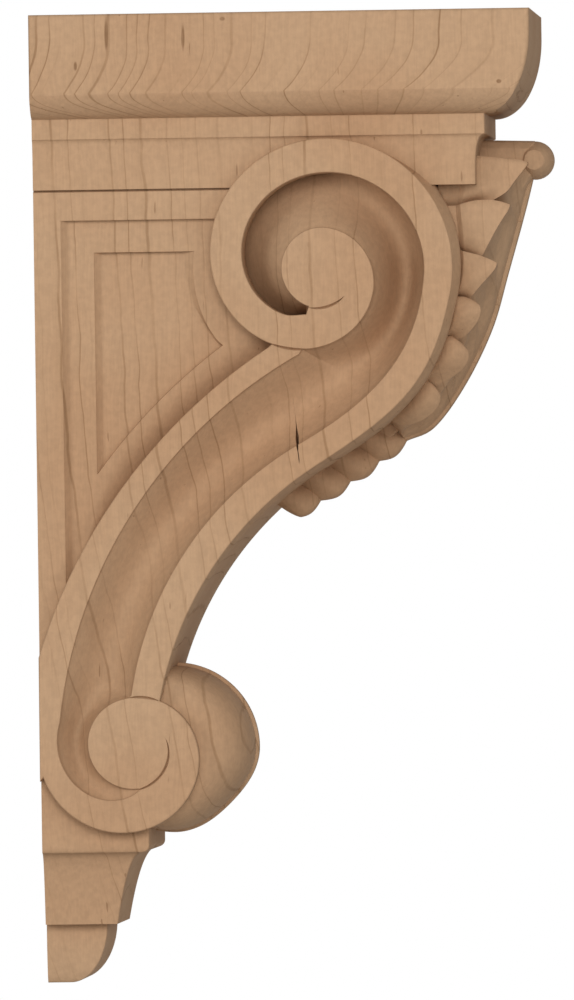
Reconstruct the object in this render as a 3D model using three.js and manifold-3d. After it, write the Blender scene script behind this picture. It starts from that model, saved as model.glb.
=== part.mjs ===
// A carved wooden corbel bracket: one solid block with a moulded top, a scroll on each side,
// a leaf rising over the front and a stepped drop at the foot.
// Millimetres. The flat back lies on x = 0, x runs out to the leaf, y across the width and z up.
// The origin is the middle of the back. Heights are given as drops below the top face.
import * as THREE from "three";
import { mergeVertices } from "three/addons/utils/BufferGeometryUtils.js";
import Module from "manifold-3d";

// Driving dimensions
const HEIGHT = 355.6;
const TOP_WIDTH = 133;
const TOP_REACH = 183.6;

// Half widths, from the proudest face to the deepest
const TOP_HALF = TOP_WIDTH / 2;
const SCROLL_HALF = 58.5;
const FILLET_HALF = 54;
const BODY_HALF = 51;
const PANEL_STEP = 2.6;

// The top board: a rounded front edge, and sides cut in underneath
const BOARD_DEPTH = 38.1;
const BOARD_FACE = 8;
const BOARD_ARRIS = 29;
const UNDERCUT_FROM = 28;
const UNDERCUT_TO = 78;
const FILLET_REACH = 166.4;
const FILLET_FOOT = 45.8;
const COVE_FOOT = 64;
const COVE_REACH = 162.7;
const COVE_HALF = 51.6;
const COVE_QUIRK = 0.6;

// The two scroll eyes. A coil's outer edge eases in to its eye from an angle over a sweep.
const UPPER_EYE = { x: 106.1, drop: 94, radius: 15, growth: 32.4, from: 60, sweep: 390 };
const LOWER_EYE = { x: 34.5, drop: 267.5, radius: 16.8, growth: 19.5, from: 200, sweep: 280 };
const UPPER_RADIUS = 48;
const UPPER_LEAVES = -10.9;
const INNER_LEAVES = -5;
const OUTER_HANDLE = 24;
const INNER_HANDLE = 27;
const BAND_WIDTH = 10.6;
const BAND_SPREAD = 0.0125;

// The long edges of the scroll, each an arc through three points (x, drop)
const BACK_BAND_OUTER = [[86, 122.9], [24.3, 184.1], [0.1, 235.6]];
const BACK_BAND_INNER = [[97.5, 125.6], [38.7, 178.1], [7.8, 259]];
const FRONT_BAND_INNER = [[97, 158.2], [53.5, 198.6], [33.9, 249.5]];
const FRONT_BAND_OUTER = [[102.8, 165.9], [66.4, 200.6], [45.2, 249.5]];
const BACK_EDGE_FOOT = 281;

// Where the bands meet the coils, in degrees about the eye
const BACK_BAND_JOINS = 236;
const COIL_FOOT = 254;
const FRONT_BAND_LANDS = 419;
const INNER_EDGE_LANDS = 452;
const FULL_TURN = 360;

// The hollow of the scroll
const HOLLOW_WALL = 4;
const COIL_WALL = 14;
const HOLLOW_SAG = 7;
const SAG_WIDTH = 12;
const HOLLOW_COLUMNS = 5;
const UPPER_TAIL = 266;
const LOWER_ENTRY = 129;
const LOWER_TURN_IN = 162;
const LOWER_TAIL = 268;
const LOWER_CLOSED = 278;
const LOWER_HOLLOW = 11.2;
const LOWER_CLOSING = 2.2;
const BEND_SHARE = 0.62;
const JOIN_SHARE = 0.17;
const RUN_SHARE = 0.86;

// The ground behind the leaf stands a little outside the scroll's front edge
const GROUND_MARGIN = 2.5;
const GROUND_FOOT_MARGIN = 0.6;
const GROUND_WIDENS = 0.1;
const BODY_TOP = 60;
const BODY_FOOT = 300;

// The sunk panel on each side, with a second one inside it
const PANEL_LEFT = 10.3;
const PANEL_TOP = 75.5;
const PANEL_TIP = 207.9;
const PANEL_MARGIN = 11.8;
const PANEL_UNDER = 1;
const PANEL_ROUND_FROM = 130;
const PANEL_ROUND_TO = 222;
const PANEL_SLOPE_FROM = 0.1;

// The swelling in front of the lower eye
const SWELL = { x: 46.5, drop: 267.2, radius: 30.8, from: 104, to: -96, half: 51 };
const SWELL_EDGE = 23;
const SWELL_CORE = 0.35;
const SWELL_SQUARENESS = 4;
const SWELL_FLATNESS = 2.4;
const SWELL_ROWS = 16;
const SWELL_COLUMNS = 14;

// The drop at the foot
const DROP_TOP = 285;
const DROP_REACH = 40.2;
const DROP_HALF = 45;
const DROP_FILLET_FOOT = 308.4;
const DROP_EASE = 3.4;
const DROP_COVE_REACH = 26.6;
const DROP_COVE_HALF = 37;
const DROP_COVE_BEND = 0.44;
const KNOB_TOP = 335;
const KNOB_REACH = 22.8;
const KNOB_FULLNESS = 1.5;
const KNOB_FLAT = 8.5;
const KNOB_HALF = 31;
const KNOB_FOOT_HALF = 26;

// The leaf: curves (x, drop) along its root, its midrib and the tips of its lobes
const LEAF_HALF = 47;
const LEAF_FOOT_HALF = 9;
const LEAF_TOP_HALF = 41;
const LEAF_WIDENS = 0.65;
const LEAF_NARROWS = 6;
const LEAF_LOBES = 6;
const LEAF_COLUMNS = 12;
const LEAF_SINK = 3;
const LEAF_SLANT = 0.12;
const LEAF_CAMBER = 1.3;
const LOBE_ROWS = [0.02, 0.22, 0.45, 0.7, 0.97];
const LOBE_MEAN = 0.75;
const LOBE_FOOT = 0.42;
const LOBE_NARROWS = 0.93;
const LOBE_CONFINED = 2.2;
const LEAF_CREST = [
  [131, 161.5], [143.5, 153.5], [156.4, 137.2], [166.4, 116.6], [172.8, 95.4], [179.4, 72.5], [183.6, 56],
];
const LEAF_EDGE = [
  [138.2, 160.3], [149.2, 143.4], [160.7, 124.7], [165.7, 107], [171.4, 92], [176.5, 70.6], [182.6, 55.2],
];
const LEAF_ROOT = [
  [126, 150], [137, 140], [147, 127.5], [152.5, 113], [156.4, 92], [155, 70], [158, 53.5],
];
const NECK_HALF = 14;
const NECK_TOP = 46.8;
const NECK_FOOT = 62;
const NECK_RISE = 0.8;
const NECK_OVER = 3;
const NECK_UNDER = 6;
const CURL = { x: 183.4, drop: 54.2, radius: 6.7, half: 15 };
const CURL_BULGE = 0.62;

// The row of beads below the leaf, each a little larger than the one under it
const BEAD_COUNT = 4;
const BEAD_FIRST = [92.2, 176.9];
const BEAD_LAST = [123.2, 156];
const BEAD_SAG = 0.6;
const BEAD_TILT = -34;
const BEAD_LENGTH = [7.4, 8];
const BEAD_HEIGHT = [10.4, 11];
const BEAD_HALF = [7.6, 8.6];

// Fineness of the curves, and how far solids run into each other or past what they cut
const CURVE_STEP = 7;
const CURVE_FINE = 100;
const LONG_STEPS = 10;
const SHORT_STEPS = 5;
const EYE_STEPS = 16;
const OVERLAP = 1;
const CUT_PAST = 4;
const ROUND_SIDES = 14;
const WELD = 1e-4;

const WOOD_COLOUR = 0xb99675;
const WOOD_ROUGHNESS = 0.6;

const wasm = await Module();
wasm.setup();

const radians = THREE.MathUtils.degToRad;
const point = (x, drop) => new THREE.Vector2(x, HEIGHT / 2 - drop);
const place = (x, y, drop) => new THREE.Vector3(x, y, HEIGHT / 2 - drop);
const polar = (radius, angle) => new THREE.Vector2(Math.cos(angle), Math.sin(angle)).multiplyScalar(radius);
const mix = THREE.MathUtils.lerp;
const sampled = (curve, count) => Array.from({ length: count + 1 }, (_, i) => curve(i / count));

// A closed geometry as a solid that can be joined and cut.
function solidOf(geometry) {
  const bare = geometry.clone();
  bare.deleteAttribute("normal");
  bare.deleteAttribute("uv");
  const merged = mergeVertices(bare, WELD);
  const make = (triVerts) => new wasm.Manifold(new wasm.Mesh({
    numProp: 3,
    vertProperties: merged.attributes.position.array,
    triVerts,
  }));
  const triangles = new Uint32Array(merged.index.array);
  const solid = make(triangles);
  return solid.volume() > 0 ? solid : make(triangles.reverse());
}

// An outline in the side view, carried across the width from -half to half.
function acrossWidth(outline, half) {
  const shape = new THREE.Shape(outline);
  const geometry = new THREE.ExtrudeGeometry(shape, { depth: 2 * half, bevelEnabled: false });
  geometry.rotateX(Math.PI / 2);
  geometry.translate(0, half, 0);
  return solidOf(geometry);
}

// An outline in the front view, carried forward from the back.
function alongReach(outline, reach) {
  const shape = new THREE.Shape(outline);
  const geometry = new THREE.ExtrudeGeometry(shape, { depth: reach, bevelEnabled: false });
  geometry.rotateX(Math.PI / 2);
  geometry.rotateZ(Math.PI / 2);
  return solidOf(geometry);
}

// A closed sheet between two surfaces, each a function of row and column.
function betweenSurfaces(rows, columns, front, back) {
  const positions = [];
  const faces = [];
  for (const surface of [front, back]) {
    for (let row = 0; row <= rows; row += 1) {
      for (let column = 0; column <= columns; column += 1) {
        positions.push(...surface(row / rows, column / columns).toArray());
      }
    }
  }
  const stride = columns + 1;
  const layer = (rows + 1) * stride;
  const quad = (a, b, c, d) => faces.push(a, b, c, a, c, d);
  for (let row = 0; row < rows; row += 1) {
    for (let column = 0; column < columns; column += 1) {
      const a = row * stride + column;
      quad(a, a + 1, a + stride + 1, a + stride);
      quad(a + layer, a + layer + stride, a + layer + stride + 1, a + layer + 1);
    }
  }
  for (let row = 0; row < rows; row += 1) {
    const a = row * stride;
    const b = a + columns;
    quad(a, a + stride, a + layer + stride, a + layer);
    quad(b, b + layer, b + layer + stride, b + stride);
  }
  for (let column = 0; column < columns; column += 1) {
    const a = column;
    const b = rows * stride + column;
    quad(a, a + layer, a + layer + 1, a + 1);
    quad(b, b + 1, b + layer + 1, b + layer);
  }
  const geometry = new THREE.BufferGeometry();
  geometry.setAttribute("position", new THREE.Float32BufferAttribute(positions, 3));
  geometry.setIndex(faces);
  return solidOf(geometry);
}

// An arc through three points (x, drop): at(t, further) runs along it, or along an arc further out.
function arcThrough(points) {
  const [a, b, c] = points.map(([x, drop]) => point(x, drop));
  const twice = 2 * (a.x * (b.y - c.y) + b.x * (c.y - a.y) + c.x * (a.y - b.y));
  const [squareA, squareB, squareC] = [a, b, c].map((p) => p.lengthSq());
  const centre = new THREE.Vector2(
    (squareA * (b.y - c.y) + squareB * (c.y - a.y) + squareC * (a.y - b.y)) / twice,
    (squareA * (c.x - b.x) + squareB * (a.x - c.x) + squareC * (b.x - a.x)) / twice,
  );
  const radius = centre.distanceTo(a);
  const start = a.clone().sub(centre).angle();
  const turn = c.clone().sub(centre).angle() - start;
  const at = (t, further = 0) => polar(radius + further, start + turn * t).add(centre);
  return { at };
}

// The scroll's outer edge about an eye: a radius that eases from full size down to the eye.
function coilRadius(eye, degrees) {
  const t = THREE.MathUtils.clamp((degrees - eye.from) / eye.sweep, 0, 1);
  return eye.radius + (eye.growth * (1 + Math.cos(Math.PI * t))) / 2;
}

function aboutEye(eye, radius, degrees) {
  return polar(radius, radians(degrees)).add(point(eye.x, eye.drop));
}

// Points along a coil's outer edge, one every few degrees.
function coilPoints(eye, from, to) {
  const count = Math.ceil(Math.abs(to - from) / CURVE_STEP);
  return sampled((t) => {
    const degrees = mix(from, to, t);
    return aboutEye(eye, coilRadius(eye, degrees), degrees);
  }, count);
}

// A blend from the upper coil, left at an angle, to the start of a long arc.
function blendFromCoil(radius, degrees, arc, handle) {
  const start = aboutEye(UPPER_EYE, radius, degrees);
  const end = arc.at(0);
  const leaving = polar(1, radians(degrees - 90));
  const arriving = arc.at(1 / CURVE_FINE).sub(end).normalize();
  return new THREE.CubicBezierCurve(
    start,
    start.clone().addScaledVector(leaving, handle),
    end.clone().addScaledVector(arriving, -handle),
    end,
  );
}

const backOuter = arcThrough(BACK_BAND_OUTER);
const backInner = arcThrough(BACK_BAND_INNER);
const frontInner = arcThrough(FRONT_BAND_INNER);
const frontOuter = arcThrough(FRONT_BAND_OUTER);
const outerBlend = blendFromCoil(UPPER_RADIUS, UPPER_LEAVES, frontOuter, OUTER_HANDLE);
const innerBlend = blendFromCoil(UPPER_RADIUS - BAND_WIDTH, INNER_LEAVES, frontInner, INNER_HANDLE);

// The front edge of the scroll from the upper coil to the lower eye.
function frontEdge() {
  const { from } = UPPER_EYE;
  const count = Math.ceil((from - UPPER_LEAVES) / CURVE_STEP);
  const round = sampled((t) => aboutEye(UPPER_EYE, UPPER_RADIUS, mix(from, UPPER_LEAVES, t)), count);
  const blend = outerBlend.getPoints(LONG_STEPS).slice(1);
  return [...round, ...blend, ...sampled(frontOuter.at, LONG_STEPS).slice(1)];
}

function scrollOutline() {
  return [
    ...coilPoints(UPPER_EYE, BACK_BAND_JOINS, UPPER_EYE.from + OVERLAP),
    ...frontEdge(),
    ...coilPoints(LOWER_EYE, FRONT_BAND_LANDS, LOWER_EYE.from).slice(1),
    point(0, BACK_EDGE_FOOT),
    ...sampled(backOuter.at, LONG_STEPS).reverse(),
  ];
}

// The body behind the scroll, out to the ground on which the leaf is carved. The ground widens
// upwards from the height of the upper eye.
function bodyOutline() {
  const eyeLevel = HEIGHT / 2 - UPPER_EYE.drop;
  const edge = frontEdge().filter((p) => p.y < HEIGHT / 2 - BODY_TOP);
  const ground = edge.map((p, i) => {
    const before = edge[Math.max(0, i - 1)];
    const after = edge[Math.min(edge.length - 1, i + 1)];
    const along = after.clone().sub(before).normalize();
    const widening = GROUND_WIDENS * Math.max(0, p.y - eyeLevel);
    const margin = mix(GROUND_MARGIN, GROUND_FOOT_MARGIN, i / (edge.length - 1)) + widening;
    return new THREE.Vector2(p.x - along.y * margin, p.y + along.x * margin);
  });
  return [
    point(0, BODY_TOP),
    point(edge[0].x, BODY_TOP),
    ...ground,
    point(LOWER_EYE.x, LOWER_EYE.drop),
    point(LOWER_EYE.x, BODY_FOOT),
    point(0, BODY_FOOT),
  ];
}

// The two edges of the hollow and the height of its walls, station by station: first round the
// upper eye, where it is deepest, then past the coil's foot and down between the long bands, and
// last round the lower eye.
function hollowStations() {
  const stations = [];
  for (let degrees = UPPER_TAIL; degrees > INNER_LEAVES; degrees -= CURVE_STEP) {
    const band = BAND_WIDTH + BAND_SPREAD * degrees;
    const outer = degrees < UPPER_EYE.from ? UPPER_RADIUS : coilRadius(UPPER_EYE, degrees);
    stations.push([
      aboutEye(UPPER_EYE, coilRadius(UPPER_EYE, degrees + FULL_TURN), degrees),
      aboutEye(UPPER_EYE, outer - band, degrees),
      mix(HOLLOW_WALL, COIL_WALL, THREE.MathUtils.smoothstep(degrees, INNER_LEAVES, UPPER_TAIL)),
    ]);
  }
  for (let i = 0; i < LONG_STEPS; i += 1) {
    const degrees = mix(FULL_TURN + INNER_LEAVES, COIL_FOOT, i / LONG_STEPS);
    stations.push([
      aboutEye(UPPER_EYE, coilRadius(UPPER_EYE, degrees), degrees),
      innerBlend.getPoint((BEND_SHARE * i) / LONG_STEPS),
      HOLLOW_WALL,
    ]);
  }
  for (let i = 0; i < SHORT_STEPS; i += 1) {
    const t = i / SHORT_STEPS;
    stations.push([
      backInner.at(JOIN_SHARE * t),
      innerBlend.getPoint(mix(BEND_SHARE, 1, t)),
      HOLLOW_WALL,
    ]);
  }
  for (let i = 0; i <= LONG_STEPS; i += 1) {
    const t = i / LONG_STEPS;
    stations.push([backInner.at(mix(JOIN_SHARE, RUN_SHARE, t)), frontInner.at(t), HOLLOW_WALL]);
  }
  for (let i = 1; i <= EYE_STEPS; i += 1) {
    const t = i / EYE_STEPS;
    const outer = mix(LOWER_ENTRY, LOWER_TAIL, t);
    const inner = mix(INNER_EDGE_LANDS, LOWER_TAIL + FULL_TURN, t);
    stations.push([
      lowerHollowEdge(outer),
      aboutEye(LOWER_EYE, coilRadius(LOWER_EYE, inner), inner),
      HOLLOW_WALL,
    ]);
  }
  return stations;
}

// The outer edge of the hollow round the lower eye closes on the eye faster and faster.
function lowerHollowEdge(degrees) {
  if (degrees < LOWER_TURN_IN) {
    const t = (degrees - LOWER_ENTRY) / (LOWER_TURN_IN - LOWER_ENTRY);
    return backInner.at(mix(RUN_SHARE, 1, t));
  }
  const closing = ((degrees - LOWER_TURN_IN) / (LOWER_CLOSED - LOWER_TURN_IN)) ** LOWER_CLOSING;
  return aboutEye(LOWER_EYE, LOWER_EYE.radius + LOWER_HOLLOW * (1 - closing), degrees);
}

// One side's hollow, as a solid to cut away: walls at the bands and a softly sunk floor.
function hollow(side) {
  const stations = hollowStations();
  const last = stations.length - 1;
  const across = (row, v) => {
    const [inner, outer, wall] = stations[Math.round(row * last)];
    return { p: inner.clone().lerp(outer, v), width: inner.distanceTo(outer), wall };
  };
  const floor = (row, v) => {
    const { p, width, wall } = across(row, v);
    const sag = HOLLOW_SAG * Math.min(1, width / SAG_WIDTH) * Math.sqrt(4 * v * (1 - v));
    return new THREE.Vector3(p.x, side * (SCROLL_HALF - wall - sag), p.y);
  };
  const mouth = (row, v) => {
    const { p } = across(row, v);
    return new THREE.Vector3(p.x, side * (SCROLL_HALF + CUT_PAST), p.y);
  };
  return betweenSurfaces(last, HOLLOW_COLUMNS, mouth, floor);
}

// A sunk panel: two straight sides, and two that follow the scroll at a margin.
function panel(side, margin, depth) {
  const left = PANEL_LEFT + margin;
  const top = HEIGHT / 2 - PANEL_TOP - margin;
  const beside = margin - PANEL_UNDER;
  const round = sampled((t) => {
    const degrees = mix(PANEL_ROUND_FROM, PANEL_ROUND_TO, t);
    return aboutEye(UPPER_EYE, coilRadius(UPPER_EYE, degrees) + beside, degrees);
  }, LONG_STEPS).filter((p) => p.y < top);
  const slope = sampled((t) => backOuter.at(mix(PANEL_SLOPE_FROM, 1, t), beside), 2 * LONG_STEPS)
    .filter((p) => p.x > left && p.y > HEIGHT / 2 - PANEL_TIP);
  const tip = slope[slope.length - 1];
  const outline = [
    new THREE.Vector2(left, top),
    new THREE.Vector2(round[0].x, top),
    ...round,
    ...slope,
    new THREE.Vector2(left, tip.y - (tip.x - left)),
  ];
  const floor = BODY_HALF - depth;
  const geometry = new THREE.ExtrudeGeometry(new THREE.Shape(outline), {
    depth: SCROLL_HALF,
    bevelEnabled: false,
  });
  geometry.rotateX(Math.PI / 2);
  geometry.translate(0, side > 0 ? floor + SCROLL_HALF : -floor, 0);
  return solidOf(geometry);
}

// The top board: its front edge is a quarter ellipse, its sides are cut in below an arris.
function board() {
  const round = sampled((t) => {
    const { x, y } = polar(1, (Math.PI / 2) * t);
    return point(mix(FILLET_REACH, TOP_REACH, x), mix(BOARD_FACE, BOARD_DEPTH, y));
  }, LONG_STEPS);
  const side = [point(0, 0), point(TOP_REACH, 0), ...round, point(0, BOARD_DEPTH)];
  const start = polar(1, radians(UNDERCUT_FROM));
  const end = polar(1, radians(UNDERCUT_TO));
  const under = sampled((t) => {
    const p = polar(1, radians(mix(UNDERCUT_FROM, UNDERCUT_TO, t)));
    const inwards = (start.x - p.x) / (start.x - end.x);
    const down = (p.y - start.y) / (end.y - start.y);
    return point(mix(TOP_HALF, FILLET_HALF, inwards), mix(BOARD_ARRIS, BOARD_DEPTH, down));
  }, SHORT_STEPS);
  const right = [point(TOP_HALF, 0), ...under];
  const left = right.map((p) => new THREE.Vector2(-p.x, p.y)).reverse();
  return acrossWidth(side, TOP_HALF).intersect(alongReach([...right, ...left], TOP_REACH + CUT_PAST));
}

// A stack of mitred rectangles, flat against the back.
function mitredStack(levels) {
  const ring = ({ reach, half, drop }) => [
    place(0, -half, drop),
    place(reach, -half, drop),
    place(reach, half, drop),
    place(0, half, drop),
  ];
  const rings = levels.map(ring);
  const positions = rings.flat().flatMap((p) => p.toArray());
  const faces = [];
  const last = 4 * (rings.length - 1);
  faces.push(0, 1, 2, 0, 2, 3);
  faces.push(last, last + 2, last + 1, last, last + 3, last + 2);
  for (let level = 0; level < rings.length - 1; level += 1) {
    for (let side = 0; side < 4; side += 1) {
      const a = 4 * level + side;
      const b = 4 * level + ((side + 1) % 4);
      faces.push(a, a + 4, b + 4, a, b + 4, b);
    }
  }
  const geometry = new THREE.BufferGeometry();
  geometry.setAttribute("position", new THREE.Float32BufferAttribute(positions, 3));
  geometry.setIndex(faces);
  return solidOf(geometry);
}

// The fillet and the cove under the top board.
function bedMould() {
  const cove = sampled((t) => {
    const inwards = Math.sqrt(1 - Math.cos((Math.PI / 2) * t));
    return {
      drop: mix(FILLET_FOOT, COVE_FOOT, t),
      reach: mix(FILLET_REACH - COVE_QUIRK, COVE_REACH, inwards),
      half: mix(FILLET_HALF - COVE_QUIRK, COVE_HALF, inwards),
    };
  }, SHORT_STEPS);
  return mitredStack([
    { drop: BOARD_DEPTH - OVERLAP, reach: FILLET_REACH, half: FILLET_HALF },
    { drop: FILLET_FOOT, reach: FILLET_REACH, half: FILLET_HALF },
    ...cove,
  ]);
}

// The drop at the foot: a fillet with a rounded lower edge, and a cove that draws in below it.
function drop() {
  const cove = sampled((share) => {
    const t = share ** 2;
    const inwards = t ** DROP_COVE_BEND;
    return {
      drop: mix(DROP_FILLET_FOOT, KNOB_TOP, t),
      reach: mix(DROP_REACH - COVE_QUIRK, DROP_COVE_REACH, inwards),
      half: mix(DROP_HALF - COVE_QUIRK, DROP_COVE_HALF, inwards),
    };
  }, LONG_STEPS);
  return mitredStack([
    { drop: DROP_TOP, reach: DROP_REACH, half: DROP_HALF },
    { drop: DROP_FILLET_FOOT - DROP_EASE, reach: DROP_REACH, half: DROP_HALF },
    ...cove,
  ]);
}

// The knob that ends the drop: a slack quarter round down to a small flat.
function knob() {
  const round = sampled((t) => {
    const { x, y } = polar(1, (Math.PI / 2) * t);
    const outwards = Math.max(0, x) ** (2 / KNOB_FULLNESS);
    return {
      drop: mix(KNOB_TOP, HEIGHT, y ** (2 / KNOB_FULLNESS)),
      reach: mix(KNOB_FLAT, KNOB_REACH, outwards),
      half: mix(KNOB_FOOT_HALF, KNOB_HALF, outwards),
    };
  }, LONG_STEPS);
  return mitredStack([{ drop: KNOB_TOP - OVERLAP, reach: KNOB_REACH, half: KNOB_HALF }, ...round]);
}

// The swelling that fills the front between the two lower scrolls.
function swelling() {
  const surface = (scale) => (row, v) => {
    const across = 2 * v - 1;
    const fullness = (1 - Math.abs(across) ** SWELL_SQUARENESS) ** (1 / SWELL_FLATNESS);
    const radius = scale * mix(SWELL_EDGE, SWELL.radius, fullness);
    const p = point(mix(LOWER_EYE.x, SWELL.x, fullness), mix(LOWER_EYE.drop, SWELL.drop, fullness));
    p.add(polar(radius, radians(mix(SWELL.from, SWELL.to, row))));
    return new THREE.Vector3(p.x, across * SWELL.half, p.y);
  };
  return betweenSurfaces(SWELL_ROWS, SWELL_COLUMNS, surface(1), surface(SWELL_CORE));
}

const curveOf = (points) => new THREE.SplineCurve(points.map(([x, drop]) => point(x, drop)));

// The leaf: a lofted sheet from root to crest, wider upwards. The lobes along both edges lean
// outwards to their tips and sweep up from the midrib.
function leaf() {
  const crest = curveOf(LEAF_CREST);
  const edge = curveOf(LEAF_EDGE);
  const root = curveOf(LEAF_ROOT);
  const stations = [];
  for (let lobe = 0; lobe < LEAF_LOBES; lobe += 1) {
    for (const rise of LOBE_ROWS) {
      const t = (lobe + rise) / LEAF_LOBES;
      const widening = Math.sin((Math.PI / 2) * Math.min(1, t / LEAF_WIDENS));
      const plan = mix(LEAF_FOOT_HALF, LEAF_HALF, widening) - (LEAF_HALF - LEAF_TOP_HALF) * t ** LEAF_NARROWS;
      stations.push({ t, lobed: mix(LOBE_FOOT, 1, rise), half: plan * mix(LOBE_NARROWS, 1, rise) });
    }
  }
  const last = stations.length - 1;
  const front = (row, v) => {
    const { t, lobed, half } = stations[Math.round(row * last)];
    const across = 2 * v - 1;
    const out = Math.abs(across);
    const rib = crest.getPoint(Math.max(0, t - LEAF_SLANT * (1 - out)));
    const ground = root.getPoint(t);
    const rise = edge.getPoint(t).sub(ground);
    const brim = ground.clone().addScaledVector(rise, LOBE_MEAN);
    const p = rib.lerp(brim, out ** LEAF_CAMBER);
    p.addScaledVector(rise, (lobed - LOBE_MEAN) * out ** LOBE_CONFINED);
    return new THREE.Vector3(p.x, across * half, p.y);
  };
  const back = (row, v) => {
    const { t, half } = stations[Math.round(row * last)];
    const across = 2 * v - 1;
    const along = root.getTangent(t);
    const p = root.getPoint(t).add(new THREE.Vector2(-along.y, along.x).multiplyScalar(LEAF_SINK));
    return new THREE.Vector3(p.x, across * half, p.y);
  };
  return betweenSurfaces(last, LEAF_COLUMNS, front, back);
}

// The row of beads that runs down the middle of the front from the foot of the leaf.
function beads() {
  return Array.from({ length: BEAD_COUNT }, (_, i) => {
    const t = i / (BEAD_COUNT - 1);
    const geometry = new THREE.SphereGeometry(1, ROUND_SIDES, ROUND_SIDES / 2);
    geometry.scale(mix(...BEAD_LENGTH, t), mix(...BEAD_HALF, t), mix(...BEAD_HEIGHT, t));
    geometry.rotateY(radians(BEAD_TILT));
    const sag = BEAD_SAG * 4 * t * (1 - t);
    const centre = point(mix(BEAD_FIRST[0], BEAD_LAST[0], t), mix(BEAD_FIRST[1], BEAD_LAST[1], t) + sag);
    geometry.translate(centre.x, 0, centre.y);
    return solidOf(geometry);
  });
}

// The narrow top of the leaf, which reaches out under the fillet to the rolled tip.
function neck() {
  const outline = [
    point(COVE_REACH - LEAF_SINK, NECK_TOP),
    point(CURL.x, NECK_TOP + NECK_RISE),
    point(CURL.x + NECK_OVER, CURL.drop),
    point(CURL.x - NECK_UNDER, NECK_FOOT),
    point(COVE_REACH - LEAF_SINK, NECK_FOOT),
  ];
  return acrossWidth(outline, NECK_HALF);
}

// The rolled tip of the leaf, a barrel lying across the width.
function curl() {
  const profile = sampled((t) => {
    const along = 2 * t - 1;
    return new THREE.Vector2(CURL.radius * Math.sqrt(1 - CURL_BULGE * along * along), along * CURL.half);
  }, LONG_STEPS);
  const closed = [new THREE.Vector2(0, -CURL.half), ...profile, new THREE.Vector2(0, CURL.half)];
  const geometry = new THREE.LatheGeometry(closed, ROUND_SIDES);
  const centre = point(CURL.x, CURL.drop);
  geometry.translate(centre.x, 0, centre.y);
  return solidOf(geometry);
}

function corbel() {
  let block = acrossWidth(bodyOutline(), BODY_HALF);
  for (const side of [-1, 1]) {
    block = block.subtract(panel(side, 0, PANEL_STEP));
    block = block.subtract(panel(side, PANEL_MARGIN, 2 * PANEL_STEP));
  }
  const mouldings = [board(), bedMould(), drop(), knob()];
  for (const piece of [...mouldings, acrossWidth(scrollOutline(), SCROLL_HALF)]) {
    block = block.add(piece);
  }
  for (const side of [-1, 1]) {
    block = block.subtract(hollow(side));
  }
  for (const piece of [swelling(), leaf(), ...beads(), neck(), curl()]) {
    block = block.add(piece);
  }
  return block;
}

function geometryOf(solid) {
  const mesh = solid.getMesh();
  const positions = new Float32Array(mesh.numVert * 3);
  for (let i = 0; i < mesh.numVert; i += 1) {
    const start = i * mesh.numProp;
    positions.set(mesh.vertProperties.subarray(start, start + 3), 3 * i);
  }
  const geometry = new THREE.BufferGeometry();
  geometry.setAttribute("position", new THREE.BufferAttribute(positions, 3));
  geometry.setIndex(new THREE.BufferAttribute(mesh.triVerts, 1));
  geometry.computeVertexNormals();
  return geometry;
}

const wood = new THREE.MeshStandardMaterial({ color: WOOD_COLOUR, roughness: WOOD_ROUGHNESS, metalness: 0 });
const carving = new THREE.Mesh(geometryOf(corbel()), wood);
carving.name = "corbel";

const part = new THREE.Group();
part.add(carving);

export default part;
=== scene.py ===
# A carved wooden corbel bracket: one solid of pale close-grained wood with a moulded top, a scroll
# on each side, a leaf over the front and a stepped drop at the foot.
# Lengths are millimetres until a mesh is made. x runs out from the wall, y across the width, z up.
# Heights are given as drops below the top face.
import math

import bmesh
import bpy
import numpy as np
from mathutils import Matrix, Vector


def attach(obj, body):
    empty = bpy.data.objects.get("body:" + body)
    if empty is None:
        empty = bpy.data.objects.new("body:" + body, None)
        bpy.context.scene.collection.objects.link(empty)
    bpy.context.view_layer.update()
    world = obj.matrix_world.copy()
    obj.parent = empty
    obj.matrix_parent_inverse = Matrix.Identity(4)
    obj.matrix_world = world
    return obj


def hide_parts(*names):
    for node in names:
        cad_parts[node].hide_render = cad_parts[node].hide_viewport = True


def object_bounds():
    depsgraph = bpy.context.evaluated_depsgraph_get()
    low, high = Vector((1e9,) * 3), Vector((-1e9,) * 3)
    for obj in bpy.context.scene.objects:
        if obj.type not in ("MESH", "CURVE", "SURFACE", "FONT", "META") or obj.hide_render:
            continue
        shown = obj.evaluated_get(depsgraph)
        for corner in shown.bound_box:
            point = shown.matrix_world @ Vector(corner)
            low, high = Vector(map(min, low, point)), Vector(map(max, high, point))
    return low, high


MM = 0.001

# Driving dimensions
HEIGHT = 355.6
TOP_WIDTH = 133.0
TOP_REACH = 183.6

# Half widths, from the proudest face to the deepest
TOP_HALF = TOP_WIDTH / 2
SCROLL_HALF = 58.5
FILLET_HALF = 54.0
BODY_HALF = 51.0
PANEL_STEP = 3.0

# The top board, and the fillet, the cove and the quirk under it
BOARD_DEPTH = 38.1
BOARD_FACE = 8.0
BOARD_ARRIS = 29.0
UNDERCUT = (28.0, 78.0)
FILLET_REACH = 166.4
FILLET_FOOT = 45.8
COVE_FOOT = 64.0
COVE_REACH = 162.7
COVE_HALF = 51.6
COVE_QUIRK = 0.6
COVE_TIGHTNESS = 4
QUIRK_DEPTH = 1.8
QUIRK_HALF = 0.9
QUIRK_SPREADS = (0.3, 1.0, 1.6)

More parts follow.
